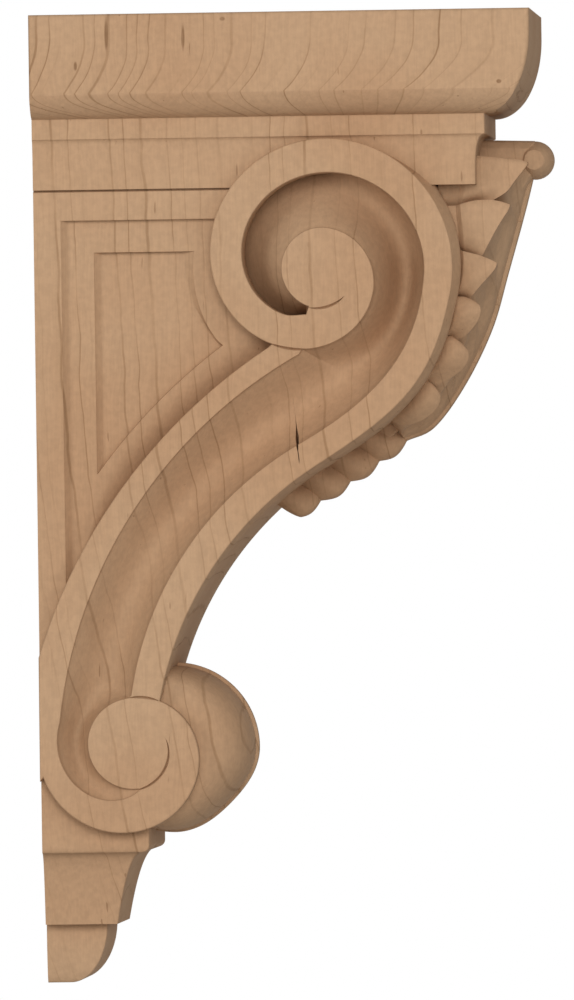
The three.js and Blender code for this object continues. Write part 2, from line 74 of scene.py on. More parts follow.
# The two scroll eyes: x, drop, radius, growth, and the angles over which the coil eases in
UPPER_EYE = dict(x=106.1, drop=94.0, radius=15.0, growth=33.0, start=60.0, sweep=380.0)
LOWER_EYE = dict(x=34.5, drop=267.5, radius=16.8, growth=18.6, start=200.0, sweep=268.0)
UPPER_RADIUS = 48.0
UPPER_LEAVES = -10.9
INNER_LEAVES = -5.0
OUTER_HANDLE = 35.0
INNER_HANDLE = 30.0
BAND_WIDTH = 10.6
BAND_SPREAD = 0.0075
BAND_BROADENS = 1.4

# The long edges of the scroll, each an arc through three points (x, drop)
BACK_BAND_OUTER = ((86.0, 122.9), (24.3, 184.1), (0.1, 235.6))
BACK_BAND_INNER = ((97.5, 125.6), (38.7, 178.1), (7.8, 259.0))
FRONT_BAND_INNER = ((97.0, 158.2), (53.5, 198.6), (33.9, 249.5))
FRONT_BAND_OUTER = ((103.2, 166.4), (66.5, 200.7), (45.0, 249.5))
BACK_EDGE_FOOT = 281.0

# Where the bands meet the coils, in degrees about the eye
BACK_BAND_JOINS = 236.0
COIL_FOOT = 254.0
FRONT_BAND_LANDS = 419.0
INNER_EDGE_LANDS = 452.0
FULL_TURN = 360.0

# The hollow of the scroll
UPPER_CLOSES = 230.0
UPPER_DEEP = 247.0
UPPER_TAIL = 251.0
TAIL_CLOSING = 0.25
LOWER_ENTRY = 129.0
LOWER_TURN_IN = 162.0
LOWER_TAIL = 276.5
LOWER_CLOSED = 278.0
LOWER_HOLLOW = 11.2
LOWER_CLOSING = 2.2
BEND_SHARE = 0.62
JOIN_SHARE = 0.17
RUN_SHARE = 0.86

# The ground behind the leaf
GROUND_MARGIN = 3.9
GROUND_FOOT_MARGIN = 0.3
GROUND_TAPERS = 0.7
GROUND_ROUND = 4.0
STRIP_HALF = 57.2
STRIP_TUCK = 0.15
STRIP_GROWS = 26
BODY_TOP = 60.0
BODY_FOOT = 300.0

# The sunk panel on each side, with a second one inside it
PANEL_LEFT = 10.3
PANEL_TOP = 75.5
PANEL_TIP = 207.9
PANEL_MARGIN = 11.8
PANEL_UNDER = 1.0
PANEL_ROUND = (130.0, 236.0)
PANEL_EASE = 0.5
PANEL_SLOPE = 2.6
PANEL_TOP_UNDERCUT = 1.2
PANEL_FADES = 4.2
SLOPE_LOW_SHARE = 0.75
SLOPE_HIGH_SHARE = 0.1

# The fall of the panel's ground towards the back band
TROUGH_WIDTH = 9.5
TROUGH_DEPTH = 4.5
TROUGH_RUNS = (-0.1, 0.74)
TROUGH_FADES = 0.3
TROUGH_LEAST = 0.05

# The swelling in front of the lower eye
SWELL = dict(x=46.4, drop=269.8, radius=31.4, start=88.0, end=-107.0, half=51.0)
SWELL_SLACK = 2.2
SWELL_EDGE = 23.0
SWELL_CORE = 0.35
SWELL_SQUARENESS = 4.0
SWELL_FLATNESS = 2.4
SWELL_COLUMNS_FROM = 0.12
BELT_HALF = 3.2
BELT_RISE = 1.1
BELT_COLUMNS = (0, 0.6, 0.96, 1.06, 1.3)

# The drop at the foot
DROP_TOP = 285.0
DROP_REACH = 39.4
DROP_HALF = 50.9
DROP_FILLET_FOOT = 307.5
DROP_EASE = 2.6
DROP_COVE_REACH = 26.6
DROP_COVE_HALF = 37.0
DROP_COVE_BEND = 0.44
KNOB_TOP = 334.0
KNOB_REACH = 22.4
KNOB_FULLNESS = 2.0
KNOB_FLAT = 8.5
KNOB_HALF = 31.0
KNOB_FOOT_HALF = 26.0

# The leaf, its neck and its rolled tip: curves (x, drop) along its midrib, its lobe tips and its root
LEAF_HALF = 47.0
LEAF_FOOT_HALF = 22.0
LEAF_TOP_HALF = 41.0
LEAF_WIDENS = 0.55
LEAF_NARROWS = 6
LEAF_LOBES = 6
LEAF_SINK = 7.0
LEAF_SLANT = 0.12
LEAF_CAMBER = 1.3
LOBE_MEAN = 0.75
LOBE_FOOT = 0.44
LOBE_TOP_FOOT = 0.77
LOBE_NARROWS = 0.93
LOBE_CONFINED = 2.2
LEAF_CREST = (
    (133.8, 157.8), (144.5, 152.7), (156.2, 137.0), (166.4, 116.6), (172.8, 95.4),
    (179.4, 72.5), (183.6, 56),
)
LEAF_EDGE = (
    (136.8, 156.2), (153.2, 137.5), (162.0, 120.5), (166.3, 105.5), (171.4, 92),
    (176.5, 70.6), (182.6, 55.2),
)
LEAF_ROOT = (
    (128, 149), (140, 136.5), (149.6, 120.5), (153.7, 106.5), (156.4, 92), (155, 70), (158, 53.5),
)
NECK_HALF = 14.0
NECK_TOP = 46.8
NECK_FOOT = 69.0
NECK_RISE = 0.8
NECK_OVER = 3.0
NECK_UNDER = 6.0
NECK_ROUND = 6.0
CURL = dict(x=183.0, drop=54.7, radius=7.1, half=15.0)
CURL_BULGE = 0.74

# The ground that the foot of the leaf springs from, above the last bead: corners (x, drop)
LEAF_BED = ((116, 150), (127, 141), (135, 150.5), (126.5, 158))
LEAF_BED_HALF = 7.0

# The row of beads below the leaf
BEAD_COUNT = 4
BEAD_FIRST = (91.2, 176.1)
BEAD_LAST = (122.4, 155.0)
BEAD_SAG = 0.6
BEAD_HEIGHT = (10.4, 11.0)
BEAD_HALF = (7.6, 8.6)

# Fineness of the curves, eased arrises, and how far solids run into or past each other
CURVE_STEP = 1.5
LONG_STEPS = 60
SHORT_STEPS = 16
EASE_STEPS = 4
CORNER_STEPS = 5
ARRIS = 0.7
LIP = ARRIS / 4
OVERLAP = 1.0
CUT_PAST = 1.5
THIN = 0.05
MITRE_LIMIT = 0.5
MERGE_DISTANCE = 1e-6
NEARLY_ONE = 0.999999
SMOOTH_ANGLE = 32.0


def mix(a, b, t):
    return a + (b - a) * t


def smooth(t):
    t = min(1.0, max(0.0, t))
    return t * t * (3 - 2 * t)


def eased(t, span):
    """Grows smoothly from 0 to 1 over a span, which is given as its start and its length."""
    start, over = span
    return smooth((t - start) / over)


def point(x, drop):
    return np.array([x, HEIGHT / 2 - drop])


def unit(v):
    return v / np.linalg.norm(v)


def left_of(v):
    along = unit(v)
    return np.array([-along[1], along[0]])


def lefts(path):
    """At each point of a path, the unit vector square to it on its left."""
    last = len(path) - 1
    return [left_of(path[min(last, i + 1)] - path[max(0, i - 1)]) for i in range(len(path))]


def at_width(y, outline):
    return [(p[0], y, p[1]) for p in outline]


def on_side(side, places):
    return [(p[0], side * y, p[1]) for p, y in places]


def both_sides(right):
    return [-v for v in right[:0:-1]] + right


def polar(radius, angle):
    return radius * np.array([math.cos(angle), math.sin(angle)])


def sampled(curve, count):
    return [curve(i / count) for i in range(count + 1)]


def arc_through(points):
    """An arc through three points (x, drop): at(t, further) runs along it, or along one further out."""
    a, b, c = (point(*p) for p in points)
    twice = 2 * (a[0] * (b[1] - c[1]) + b[0] * (c[1] - a[1]) + c[0] * (a[1] - b[1]))
    squares = [p @ p for p in (a, b, c)]
    centre = np.array([
        squares[0] * (b[1] - c[1]) + squares[1] * (c[1] - a[1]) + squares[2] * (a[1] - b[1]),
        squares[0] * (c[0] - b[0]) + squares[1] * (a[0] - c[0]) + squares[2] * (b[0] - a[0]),
    ]) / twice
    radius = np.linalg.norm(a - centre)
    start = math.atan2(*(a - centre)[::-1]) % math.tau
    turn = math.atan2(*(c - centre)[::-1]) % math.tau - start
    return lambda t, further=0.0: centre + polar(radius + further, start + turn * t)


def curve_of(points):
    """A smooth curve through points (x, drop), run from 0 to 1 with its points evenly spaced."""
    knots = [point(*p) for p in points]
    knots = [2 * knots[0] - knots[1], *knots, 2 * knots[-1] - knots[-2]]

    def at(t):
        place = min(NEARLY_ONE, max(0.0, t)) * (len(points) - 1)
        first = int(place)
        before, start, end, after = knots[first:first + 4]
        u = place - first
        out, into = (end - before) / 2, (after - start) / 2
        return (
            start * (2 * u**3 - 3 * u**2 + 1) + out * (u**3 - 2 * u**2 + u)
            + end * (3 * u**2 - 2 * u**3) + into * (u**3 - u**2)
        )

    return at


def coil_radius(eye, degrees):
    t = min(1.0, max(0.0, (degrees - eye["start"]) / eye["sweep"]))
    return eye["radius"] + eye["growth"] * (1 + math.cos(math.pi * t)) / 2


def about_eye(eye, radius, degrees):
    return point(eye["x"], eye["drop"]) + polar(radius, math.radians(degrees))


def coil_points(eye, start, end, count=None, further=0.0):
    count = count or math.ceil(abs(end - start) / CURVE_STEP) + 1
    turns = np.linspace(start, end, count)
    return [about_eye(eye, coil_radius(eye, d) + further, d) for d in turns]


def blend_from_coil(radius, degrees, arc, handle):
    """A curve that leaves the upper coil at an angle and runs into the start of a long arc."""
    start, end = about_eye(UPPER_EYE, radius, degrees), arc(0)
    leaving = polar(1, math.radians(degrees - 90))
    arriving = unit(arc(1 / LONG_STEPS) - end)
    first, second = start + handle * leaving, end - handle * arriving
    return lambda t: (
        start * (1 - t) ** 3 + first * 3 * t * (1 - t) ** 2 + second * 3 * t**2 * (1 - t) + end * t**3
    )


back_outer = arc_through(BACK_BAND_OUTER)
back_inner = arc_through(BACK_BAND_INNER)
front_inner = arc_through(FRONT_BAND_INNER)
front_outer = arc_through(FRONT_BAND_OUTER)
outer_blend = blend_from_coil(UPPER_RADIUS, UPPER_LEAVES, front_outer, OUTER_HANDLE)
inner_blend = blend_from_coil(UPPER_RADIUS - BAND_WIDTH, INNER_LEAVES, front_inner, INNER_HANDLE)


def add_object(name, data):
    made = bpy.data.objects.new(name, data)
    bpy.context.scene.collection.objects.link(made)
    return made


def solid(name, vertices, faces):
    """A closed mesh object from points in millimetres, with its faces turned outwards."""
    mesh = bpy.data.meshes.new(name)
    mesh.from_pydata([tuple(MM * float(c) for c in v) for v in vertices], [], faces)
    made = bmesh.new()
    made.from_mesh(mesh)
    bmesh.ops.remove_doubles(made, verts=made.verts, dist=MERGE_DISTANCE)
    bmesh.ops.recalc_face_normals(made, faces=made.faces)
    if made.calc_volume(signed=True) < 0:
        bmesh.ops.reverse_faces(made, faces=made.faces)
    made.to_mesh(mesh)
    made.free()
    return add_object(name, mesh)


def loft(name, rings):
    """A closed solid through rings of points, each ring closed, with a face over each end."""
    count = len(rings[0])
    vertices = [v for ring in rings for v in ring]
    faces = [list(range(count))[::-1], [len(vertices) - count + i for i in range(count)]]
    for level in range(len(rings) - 1):
        for i in range(count):
            a, b = level * count + i, level * count + (i + 1) % count
            faces.append([a, b, b + count, a + count])
    return solid(name, vertices, faces)


def between(name, front, back):
    """A closed sheet between two grids of points."""
    rows, columns = len(front), len(front[0])
    vertices = [v for grid in (front, back) for row in grid for v in row]
    layer = rows * columns
    faces = []
    for r in range(rows - 1):
        for c in range(columns - 1):
            a = r * columns + c
            faces.append([a, a + 1, a + columns + 1, a + columns])
            faces.append([a + layer, a + layer + columns, a + layer + columns + 1, a + layer + 1])
    for r in range(rows - 1):
        for a in (r * columns, r * columns + columns - 1):
            faces.append([a, a + columns, a + layer + columns, a + layer])
    for c in range(columns - 1):
        for a in (c, (rows - 1) * columns + c):
            faces.append([a, a + layer, a + layer + 1, a + 1])
    return solid(name, vertices, faces)


def combine(target, tool, operation):
    """Joins a tool solid to the target, or cuts it away, and deletes the tool."""
    step = target.modifiers.new("step", "BOOLEAN")
    step.operation = operation
    step.solver = "MANIFOLD"
    step.object = tool
    before = len(target.data.vertices)
    bpy.context.view_layer.objects.active = target
    bpy.ops.object.modifier_apply(modifier=step.name)
    if len(target.data.vertices) == before:
        raise RuntimeError(tool.name + " left the solid as it was")
    bpy.data.meshes.remove(tool.data)


def inset(outline, distance):
    """The outline moved inwards all round by a small distance."""
    outline = np.array(outline)
    x, z = outline[:, 0], outline[:, 1]
    turning = np.sign(np.sum(x * np.roll(z, -1) - np.roll(x, -1) * z))
    along = np.roll(outline, -1, axis=0) - outline
    along /= np.linalg.norm(along, axis=1)[:, None]
    normals = turning * np.stack([-along[:, 1], along[:, 0]], axis=1)
    corner = normals + np.roll(normals, 1, axis=0)
    lengths = np.maximum(MITRE_LIMIT, np.sum(corner * normals, axis=1))
    return outline + distance * corner / lengths[:, None]


def tidy_outline(outline):
    """The outline without points that repeat the one before them."""
    kept = [outline[0]]
    for p in outline[1:]:
        if np.linalg.norm(p - kept[-1]) > THIN:
            kept.append(p)
    if np.linalg.norm(kept[0] - kept[-1]) <= THIN:
        kept.pop()
    return kept


def eased_levels(half, ease):
    """Places across the width, and the inset there, that round both arrises of a slab."""
    corner = [(1 - math.sin(a), 1 - math.cos(a)) for a in np.radians(np.linspace(0, 90, EASE_STEPS))]
    near = [(-half + ease * depth, ease * edge) for edge, depth in corner]
    return near + [(-y, edge) for y, edge in near[::-1]]


def across_width(name, outline, half, ease=ARRIS):
    """A side-view outline carried across the width, with both arrises eased."""
    outline = tidy_outline(outline)
    return loft(name, [at_width(y, inset(outline, edge)) for y, edge in eased_levels(half, ease)])


def front_edge():
    start = UPPER_EYE["start"]
    count = math.ceil((start - UPPER_LEAVES) / CURVE_STEP)
    turns = np.linspace(start, UPPER_LEAVES, count + 1)
    coil = [about_eye(UPPER_EYE, UPPER_RADIUS, d) for d in turns]
    return coil + sampled(outer_blend, LONG_STEPS)[1:] + sampled(front_outer, LONG_STEPS)[1:]


def scroll():
    outline = [
        *coil_points(UPPER_EYE, BACK_BAND_JOINS, UPPER_EYE["start"] + OVERLAP),
        *front_edge(),
        *coil_points(LOWER_EYE, FRONT_BAND_LANDS, LOWER_EYE["start"])[1:],
        point(0, BACK_EDGE_FOOT),
        *sampled(back_outer, LONG_STEPS)[::-1],
    ]
    return across_width("scroll", outline, SCROLL_HALF)


def beside_front_edge():
    """Points along the scroll's front edge, each with the way across the ground beside it."""
    edge = front_edge()
    ground = []
    for i, (p, left) in enumerate(zip(edge, lefts(edge))):
        margin = mix(GROUND_MARGIN, GROUND_FOOT_MARGIN, (i / (len(edge) - 1)) ** GROUND_TAPERS)
        ground.append((p, margin * left))
    return ground


def ground_strip():
    """The narrow bevel beside the scroll's front edge, which dies out over the top of the coil."""
    eyes = [point(eye["x"], eye["drop"]) for eye in (LOWER_EYE, UPPER_EYE)]
    rings = []
    for y, share in (
        (-STRIP_HALF, -STRIP_TUCK), (-BODY_HALF, 1), (BODY_HALF, 1), (STRIP_HALF, -STRIP_TUCK),
    ):
        strip = [
            p + share * margin * smooth((i + 1) / STRIP_GROWS)
            for i, (p, margin) in enumerate(beside_front_edge())
        ]
        rings.append(at_width(y, strip + eyes))
    return loft("ground_strip", rings)


def body():
    """The block behind the scroll and the leaf, with its front arris rounded off."""
    ground = [(p, margin) for p, margin in beside_front_edge() if p[1] < HEIGHT / 2 - BODY_TOP]
    rings = []
    for y, share in eased_levels(BODY_HALF, GROUND_ROUND):
        drawn_in = share / GROUND_ROUND
        front = [p + margin * (1 - drawn_in) for p, margin in ground]
        outline = [
            point(0, BODY_TOP),
            point(ground[0][0][0], BODY_TOP),
            *front,
            point(LOWER_EYE["x"], LOWER_EYE["drop"]),
            point(LOWER_EYE["x"], BODY_FOOT),
            point(0, BODY_FOOT),
        ]
        rings.append(at_width(y, outline))
    return loft("body", rings)


def lower_hollow_edge(degrees):
    if degrees < LOWER_TURN_IN:
        t = (degrees - LOWER_ENTRY) / (LOWER_TURN_IN - LOWER_ENTRY)
        return back_inner(mix(RUN_SHARE, 1, t))
    closing = ((degrees - LOWER_TURN_IN) / (LOWER_CLOSED - LOWER_TURN_IN)) ** LOWER_CLOSING
    return about_eye(LOWER_EYE, LOWER_EYE["radius"] + LOWER_HOLLOW * (1 - closing), degrees)


# The floor of the hollow at places along it: depth at its inner edge, depth at its outer edge,
# depth of the valley below the line between them, and where across the valley lies
HOLLOW_TIP = (1.2, 1.2, 0.0, 0.6)
HOLLOW_TAIL = (9.0, 23.0, 0.5, 0.6)
HOLLOW_LEFT = (4.0, 25.0, 0.5, 0.6)
HOLLOW_TOP = (2.0, 20.0, 1.0, 0.6)
HOLLOW_RIGHT = (2.5, 5.0, 22.0, 0.6)
HOLLOW_RUN = (2.0, 3.5, 12.0, 0.55)
HOLLOW_FOOT = (2.5, 4.0, 6.5, 0.5)
HOLLOW_END = (0.9, 0.9, 0.3, 0.5)
HOLLOW_FOOT_AT = 0.6
HOLLOW_STEEP = 0.9
HOLLOW_DIPS = 1.15
HOLLOW_COLUMNS = 22
VALLEY_WIDTH = 14.0


def hollow_stations():
    """The two edges of the hollow and the form of its floor, station by station."""
    stations = []
    turns = np.arange(UPPER_TAIL, INNER_LEAVES, -CURVE_STEP)
    for degrees in turns:
        broadens = BAND_BROADENS * max(0.0, math.sin(math.radians(degrees))) ** 2
        band = BAND_WIDTH + BAND_SPREAD * degrees + broadens
        outer = UPPER_RADIUS if degrees < UPPER_EYE["start"] else coil_radius(UPPER_EYE, degrees)
        form = [
            np.interp(degrees, (0, 90, 180, UPPER_DEEP, UPPER_TAIL), column)
            for column in zip(HOLLOW_RIGHT, HOLLOW_TOP, HOLLOW_LEFT, HOLLOW_TAIL, HOLLOW_TIP)
        ]
        eye = coil_radius(UPPER_EYE, degrees + FULL_TURN)
        closing = TAIL_CLOSING * smooth((degrees - UPPER_CLOSES) / (UPPER_TAIL - UPPER_CLOSES))
        stations.append((
            about_eye(UPPER_EYE, eye, degrees),
            about_eye(UPPER_EYE, mix(outer - band, eye, closing), degrees),
            form,
        ))
    for i in range(LONG_STEPS):
        t = i / LONG_STEPS
        degrees = mix(FULL_TURN + INNER_LEAVES, COIL_FOOT, t)
        stations.append((
            about_eye(UPPER_EYE, coil_radius(UPPER_EYE, degrees), degrees),
            inner_blend(BEND_SHARE * t),
            [mix(a, b, t) for a, b in zip(HOLLOW_RIGHT, HOLLOW_RUN)],
        ))
    for i in range(SHORT_STEPS):
        t = i / SHORT_STEPS
        stations.append((back_inner(JOIN_SHARE * t), inner_blend(mix(BEND_SHARE, 1, t)), HOLLOW_RUN))
    for t in np.linspace(0, 1, LONG_STEPS + 1):
        stations.append((back_inner(mix(JOIN_SHARE, RUN_SHARE, t)), front_inner(t), HOLLOW_RUN))
    for t in np.linspace(0, 1, LONG_STEPS + 1)[1:]:
        inner = mix(INNER_EDGE_LANDS, LOWER_TAIL + FULL_TURN, t)
        stations.append((
            lower_hollow_edge(mix(LOWER_ENTRY, LOWER_TAIL, t)),
            about_eye(LOWER_EYE, coil_radius(LOWER_EYE, inner), inner),
            [
                np.interp(t, (0, HOLLOW_FOOT_AT, 1), column)
                for column in zip(HOLLOW_RUN, HOLLOW_FOOT, HOLLOW_END)
            ],
        ))
    return stations


def hollow(side):
    """One side's hollow, as a solid to cut away, with eased arrises at its mouth."""
    rings = []
    for inner, outer, (inner_depth, outer_depth, valley, middle) in hollow_stations():
        width = np.linalg.norm(outer - inner)
        out = (outer - inner) / width
        valley = valley * min(1, width / VALLEY_WIDTH)
        section = [(-ARRIS - CUT_PAST, -CUT_PAST), (-LIP, LIP), (0, ARRIS)]
        for v in np.linspace(0, 1, HOLLOW_COLUMNS):
            bent = v ** (math.log(0.5) / math.log(middle))
            sag = valley * math.sin(math.pi * bent) ** HOLLOW_STEEP
            depth = mix(inner_depth, outer_depth, v**HOLLOW_DIPS) + sag
            section.append((width * v, max(ARRIS + THIN, depth)))
        section += [(width, ARRIS), (width + LIP, LIP), (width + ARRIS + CUT_PAST, -CUT_PAST)]
        places = [(inner + out * offset, SCROLL_HALF - depth) for offset, depth in section]
        rings.append(on_side(side, places))
    return loft("hollow", rings)


def quirk(side):
    """The thin line cut into the body under the cove."""
    rings = []
    for depth, spread in zip((QUIRK_DEPTH, 0, -CUT_PAST), QUIRK_SPREADS):
        y = side * (BODY_HALF - depth)
        top, foot = (HEIGHT / 2 - COVE_FOOT + v * spread * QUIRK_HALF for v in (1, -1))
        corners = ((-CUT_PAST, foot), (COVE_REACH, foot), (COVE_REACH, top), (-CUT_PAST, top))
        rings.append([(x, y, z) for x, z in corners])
    return loft("quirk", rings)


def panel_outline(margin):
    """A panel's two straight sides and the two that follow the scroll, and how far each point fades."""
    left = PANEL_LEFT + margin
    top = HEIGHT / 2 - PANEL_TOP - margin
    beside = margin - PANEL_UNDER
    round_side = coil_points(UPPER_EYE, *PANEL_ROUND, LONG_STEPS, beside)
    round_side = [p for p in round_side if p[1] < top]
    slope = [back_outer(t, beside) for t in np.linspace(0, 1, 4 * LONG_STEPS)]
    slope = [p for p in slope if p[0] > left and p[1] > HEIGHT / 2 - PANEL_TIP]
    gaps = np.linalg.norm(np.array(round_side)[:, None] - np.array(slope)[None], axis=2)
    last, first = np.unravel_index(gaps.argmin(), gaps.shape)
    round_side, slope = round_side[:last], slope[first:]
    tip = slope[-1]
    outline = tidy_outline([
        np.array([left, top]),
        np.array([round_side[0][0], top]),
        *round_side,
        *slope,
        np.array([left, tip[1] - (tip[0] - left)]),
    ])
    fades = np.zeros(len(outline))
    fades[1:1 + len(round_side)] = np.linspace(1, 0, len(round_side))
    return outline, fades


def panel(side, margin, depth):
    """A sunk panel as a solid to cut away. Its wall slopes at the left, and fades out beside the coil."""
    outline, fades = panel_outline(margin)
    floor = BODY_HALF - depth
    levels = (
        (floor, PANEL_EASE, 1.0),
        (floor + PANEL_EASE, 0.0, SLOPE_LOW_SHARE),
        (floor + PANEL_STEP - ARRIS, 0.0, SLOPE_HIGH_SHARE),
        (floor + PANEL_STEP - LIP, -LIP, 0.0),
        (BODY_HALF + CUT_PAST, -ARRIS - CUT_PAST, 0.0),
    )
    rings = []
    for y, edge, share in levels:
        ring = inset(outline, edge)
        ring[[0, -1], 0] += share * PANEL_SLOPE
        ring[[0, 1], 1] += share * PANEL_TOP_UNDERCUT
        ring[:, 0] += (1 - share) * PANEL_FADES * fades
        rings.append(at_width(side * y, ring))
    return loft("panel", rings)


def trough(side):
    """The fall of the panel's ground towards the back band, as a solid to cut away."""
    ground = BODY_HALF - PANEL_STEP
    rings = []
    for t in np.linspace(*TROUGH_RUNS, LONG_STEPS):
        full = max(TROUGH_LEAST, smooth((TROUGH_RUNS[1] - t) / TROUGH_FADES))
        section = [(-PANEL_UNDER, ground + CUT_PAST), (-PANEL_UNDER, ground - TROUGH_DEPTH * full)]
        for v in np.linspace(0, 1, SHORT_STEPS // 2):
            section.append((TROUGH_WIDTH * full * v, ground - TROUGH_DEPTH * full * (1 - v) ** 2))
        section.append((TROUGH_WIDTH * full, ground + CUT_PAST))
        rings.append(on_side(side, [(back_outer(t, offset), y) for offset, y in section]))
    return loft("trough", rings)


def board():
    """The top board: its front edge is a quarter ellipse, its sides are cut in below an arris."""
    rounded = []
    for a in np.linspace(0, math.pi / 2, LONG_STEPS):
        x, z = polar(1, a)
        rounded.append(point(mix(FILLET_REACH, TOP_REACH, x), mix(BOARD_FACE, BOARD_DEPTH, z)))
    side = [point(0, 0), point(TOP_REACH, 0), *rounded, point(0, BOARD_DEPTH)]
    start, end = (polar(1, math.radians(a)) for a in UNDERCUT)
    under = []
    for a in np.radians(np.linspace(*UNDERCUT, SHORT_STEPS)):
        x, z = polar(1, a)
        inwards = (start[0] - x) / (start[0] - end[0])
        down = (z - start[1]) / (end[1] - start[1])
        under.append(point(mix(TOP_HALF, FILLET_HALF, inwards), mix(BOARD_ARRIS, BOARD_DEPTH, down)))
    right = [point(TOP_HALF, 0), *under]
    front = tidy_outline(right + [p * np.array([-1, 1]) for p in right[::-1]])
    slab = across_width("board", side, TOP_HALF, 2 * ARRIS)
    rings = [[(x, p[0], p[1]) for p in front] for x in (-CUT_PAST, TOP_REACH + CUT_PAST)]
    combine(slab, loft("board_front", rings), "INTERSECT")
    return slab


def mitred_stack(name, levels, ease=ARRIS):
    """A stack of rectangles (drop, reach, half) with eased corners, flat against the back."""
    rings = []
    for drop, reach, half in levels:
        corners = []
        for side, start in ((-1, -90), (1, 0)):
            for a in np.radians(np.linspace(start, start + 90, CORNER_STEPS)):
                x, y = polar(ease, a)
                corners.append((reach - ease + x, side * (half - ease) + y, HEIGHT / 2 - drop))
        rings.append([(0, -half, HEIGHT / 2 - drop), *corners, (0, half, HEIGHT / 2 - drop)])
    return loft(name, rings)


def bed_mould():
    cove = []
    for t in np.linspace(0, 1, LONG_STEPS // 2):
        inwards = (1 - (1 - t) ** COVE_TIGHTNESS) ** 0.5
        cove.append((
            mix(FILLET_FOOT, COVE_FOOT, t),
            mix(FILLET_REACH - COVE_QUIRK, COVE_REACH, inwards),
            mix(FILLET_HALF - COVE_QUIRK, COVE_HALF, inwards),
        ))
    fillet = [
        (BOARD_DEPTH - OVERLAP, FILLET_REACH, FILLET_HALF),
        (FILLET_FOOT - ARRIS / 2, FILLET_REACH, FILLET_HALF),
        (FILLET_FOOT - THIN, FILLET_REACH - ARRIS / 2, FILLET_HALF - ARRIS / 2),
    ]
    return mitred_stack("bed_mould", fillet + cove)


def foot_drop():
    cove = []
    for t in np.linspace(0, 1, LONG_STEPS // 2) ** 2:
        inwards = t**DROP_COVE_BEND
        cove.append((
            mix(DROP_FILLET_FOOT, KNOB_TOP, t),
            mix(DROP_REACH - DROP_EASE, DROP_COVE_REACH, inwards),
            mix(DROP_HALF - DROP_EASE / 2, DROP_COVE_HALF, inwards),
        ))
    fillet = [(DROP_TOP, DROP_REACH, DROP_HALF)]
    for a in np.linspace(0, math.pi / 2, SHORT_STEPS, endpoint=False):
        x, z = polar(DROP_EASE, a)
        drawn_in = DROP_EASE - x
        fillet.append((DROP_FILLET_FOOT - DROP_EASE + z, DROP_REACH - drawn_in, DROP_HALF - drawn_in / 2))
    return mitred_stack("foot_drop", fillet + cove)


def knob():
    rounded = [(KNOB_TOP - OVERLAP, KNOB_REACH, KNOB_HALF)]
    for a in np.linspace(0, math.pi / 2, LONG_STEPS // 2):
        x, z = (max(0, c) ** (2 / KNOB_FULLNESS) for c in polar(1, a))
        rounded.append((
            mix(KNOB_TOP, HEIGHT, z),
            mix(KNOB_FLAT, KNOB_REACH, x),
            mix(KNOB_FOOT_HALF, KNOB_HALF, x),
        ))
    return mitred_stack("knob", rounded)


def swelling():
    """The swelling between the lower coils, with a narrow belt round its middle."""
    beside = [BELT_HALF * b / SWELL["half"] for b in BELT_COLUMNS]
    turns = np.linspace(SWELL_COLUMNS_FROM, math.pi / 2, 2 * SHORT_STEPS)
    columns = both_sides(beside + [math.sin(a) for a in turns])
    eye, middle = point(LOWER_EYE["x"], LOWER_EYE["drop"]), point(SWELL["x"], SWELL["drop"])
    front, back = [], []
    for row in np.linspace(0, 1, 2 * LONG_STEPS):
        angle = math.radians(mix(SWELL["start"], SWELL["end"], row))
        slack = SWELL_SLACK * math.sin(2 * angle) ** 2 if -math.pi / 2 < angle < 0 else 0
        for grid, scale in ((front, 1.0), (back, SWELL_CORE)):
            line = []
            for across in columns:
                fullness = max(0, 1 - abs(across) ** SWELL_SQUARENESS) ** (1 / SWELL_FLATNESS)
                radius = mix(SWELL_EDGE, SWELL["radius"] - slack, fullness)
                if abs(across) * SWELL["half"] > BELT_HALF:
                    radius -= BELT_RISE * fullness
                p = mix(eye, middle, fullness) + polar(scale * radius, angle)
                line.append((p[0], across * SWELL["half"], p[1]))
            grid.append(line)
    return between("swelling", front, back)


# How the leaf's lobes are cut, in shares of a lobe or of the leaf: rows up a lobe and columns across.
# A pair of shares says where something begins to fade or to grow, and over what length
LOBE_ROWS = (
    0.004, 0.03, 0.07, 0.12, 0.18, 0.25, 0.33, 0.42, 0.52, 0.62, 0.72, 0.8, 0.86, 0.91, 0.95, 0.98, 0.996,
)
LEAF_FRONT_COLUMNS = 30
LEAF_COLUMNS_FROM = 0.15
MIDRIB_COLUMNS = (0, 0.6, 0.95, 1.02, 1.12, 1.22, 1.4)
WALL_FOOT_COLUMNS = (0, 0.04, 0.08, 0.12)
WALL_COLUMNS = 12
WALL_COLUMNS_FROM = 0.17
TANGENT_STEP = 0.01

# The outline of a lobe: its arch and slope, its tip, the cut at its base and the crevice beside it
LOBE_ARCH = 0.06
LOBE_SLOPES = (0.0, 0.06, 0.06, 0.1, 0.2, -0.08, 0.0)
LOBE_TIP_FALL = 0.05
LOBE_TIP_POWER = 4
LOBE_BASE_CUT = 0.075
LOBE_BASE_LENGTH = 0.1
LOBE_BULGE = 4.0
LOBE_DRAWN_IN = 0.1
TIP_ROUNDS_FROM = (0.62, 0.88)
TIP_NARROWS = 0.025
TIP_SHORTENS = 0.04
TIP_SHORTENS_BELOW = 0.14
TOP_LOBE = (0.8, 0.08)
CREVICE_DEPTH = 1.6
CREVICE_SHARE = 0.09

# The lower lobes are round instead of pointed
ROUND_FADES = (0.2, 0.3)
ROUND_SKEW = 1.1
ROUND_FULLNESS = 0.5
ROUND_FOOT = 0.25
ROUND_NARROWS = 0.9

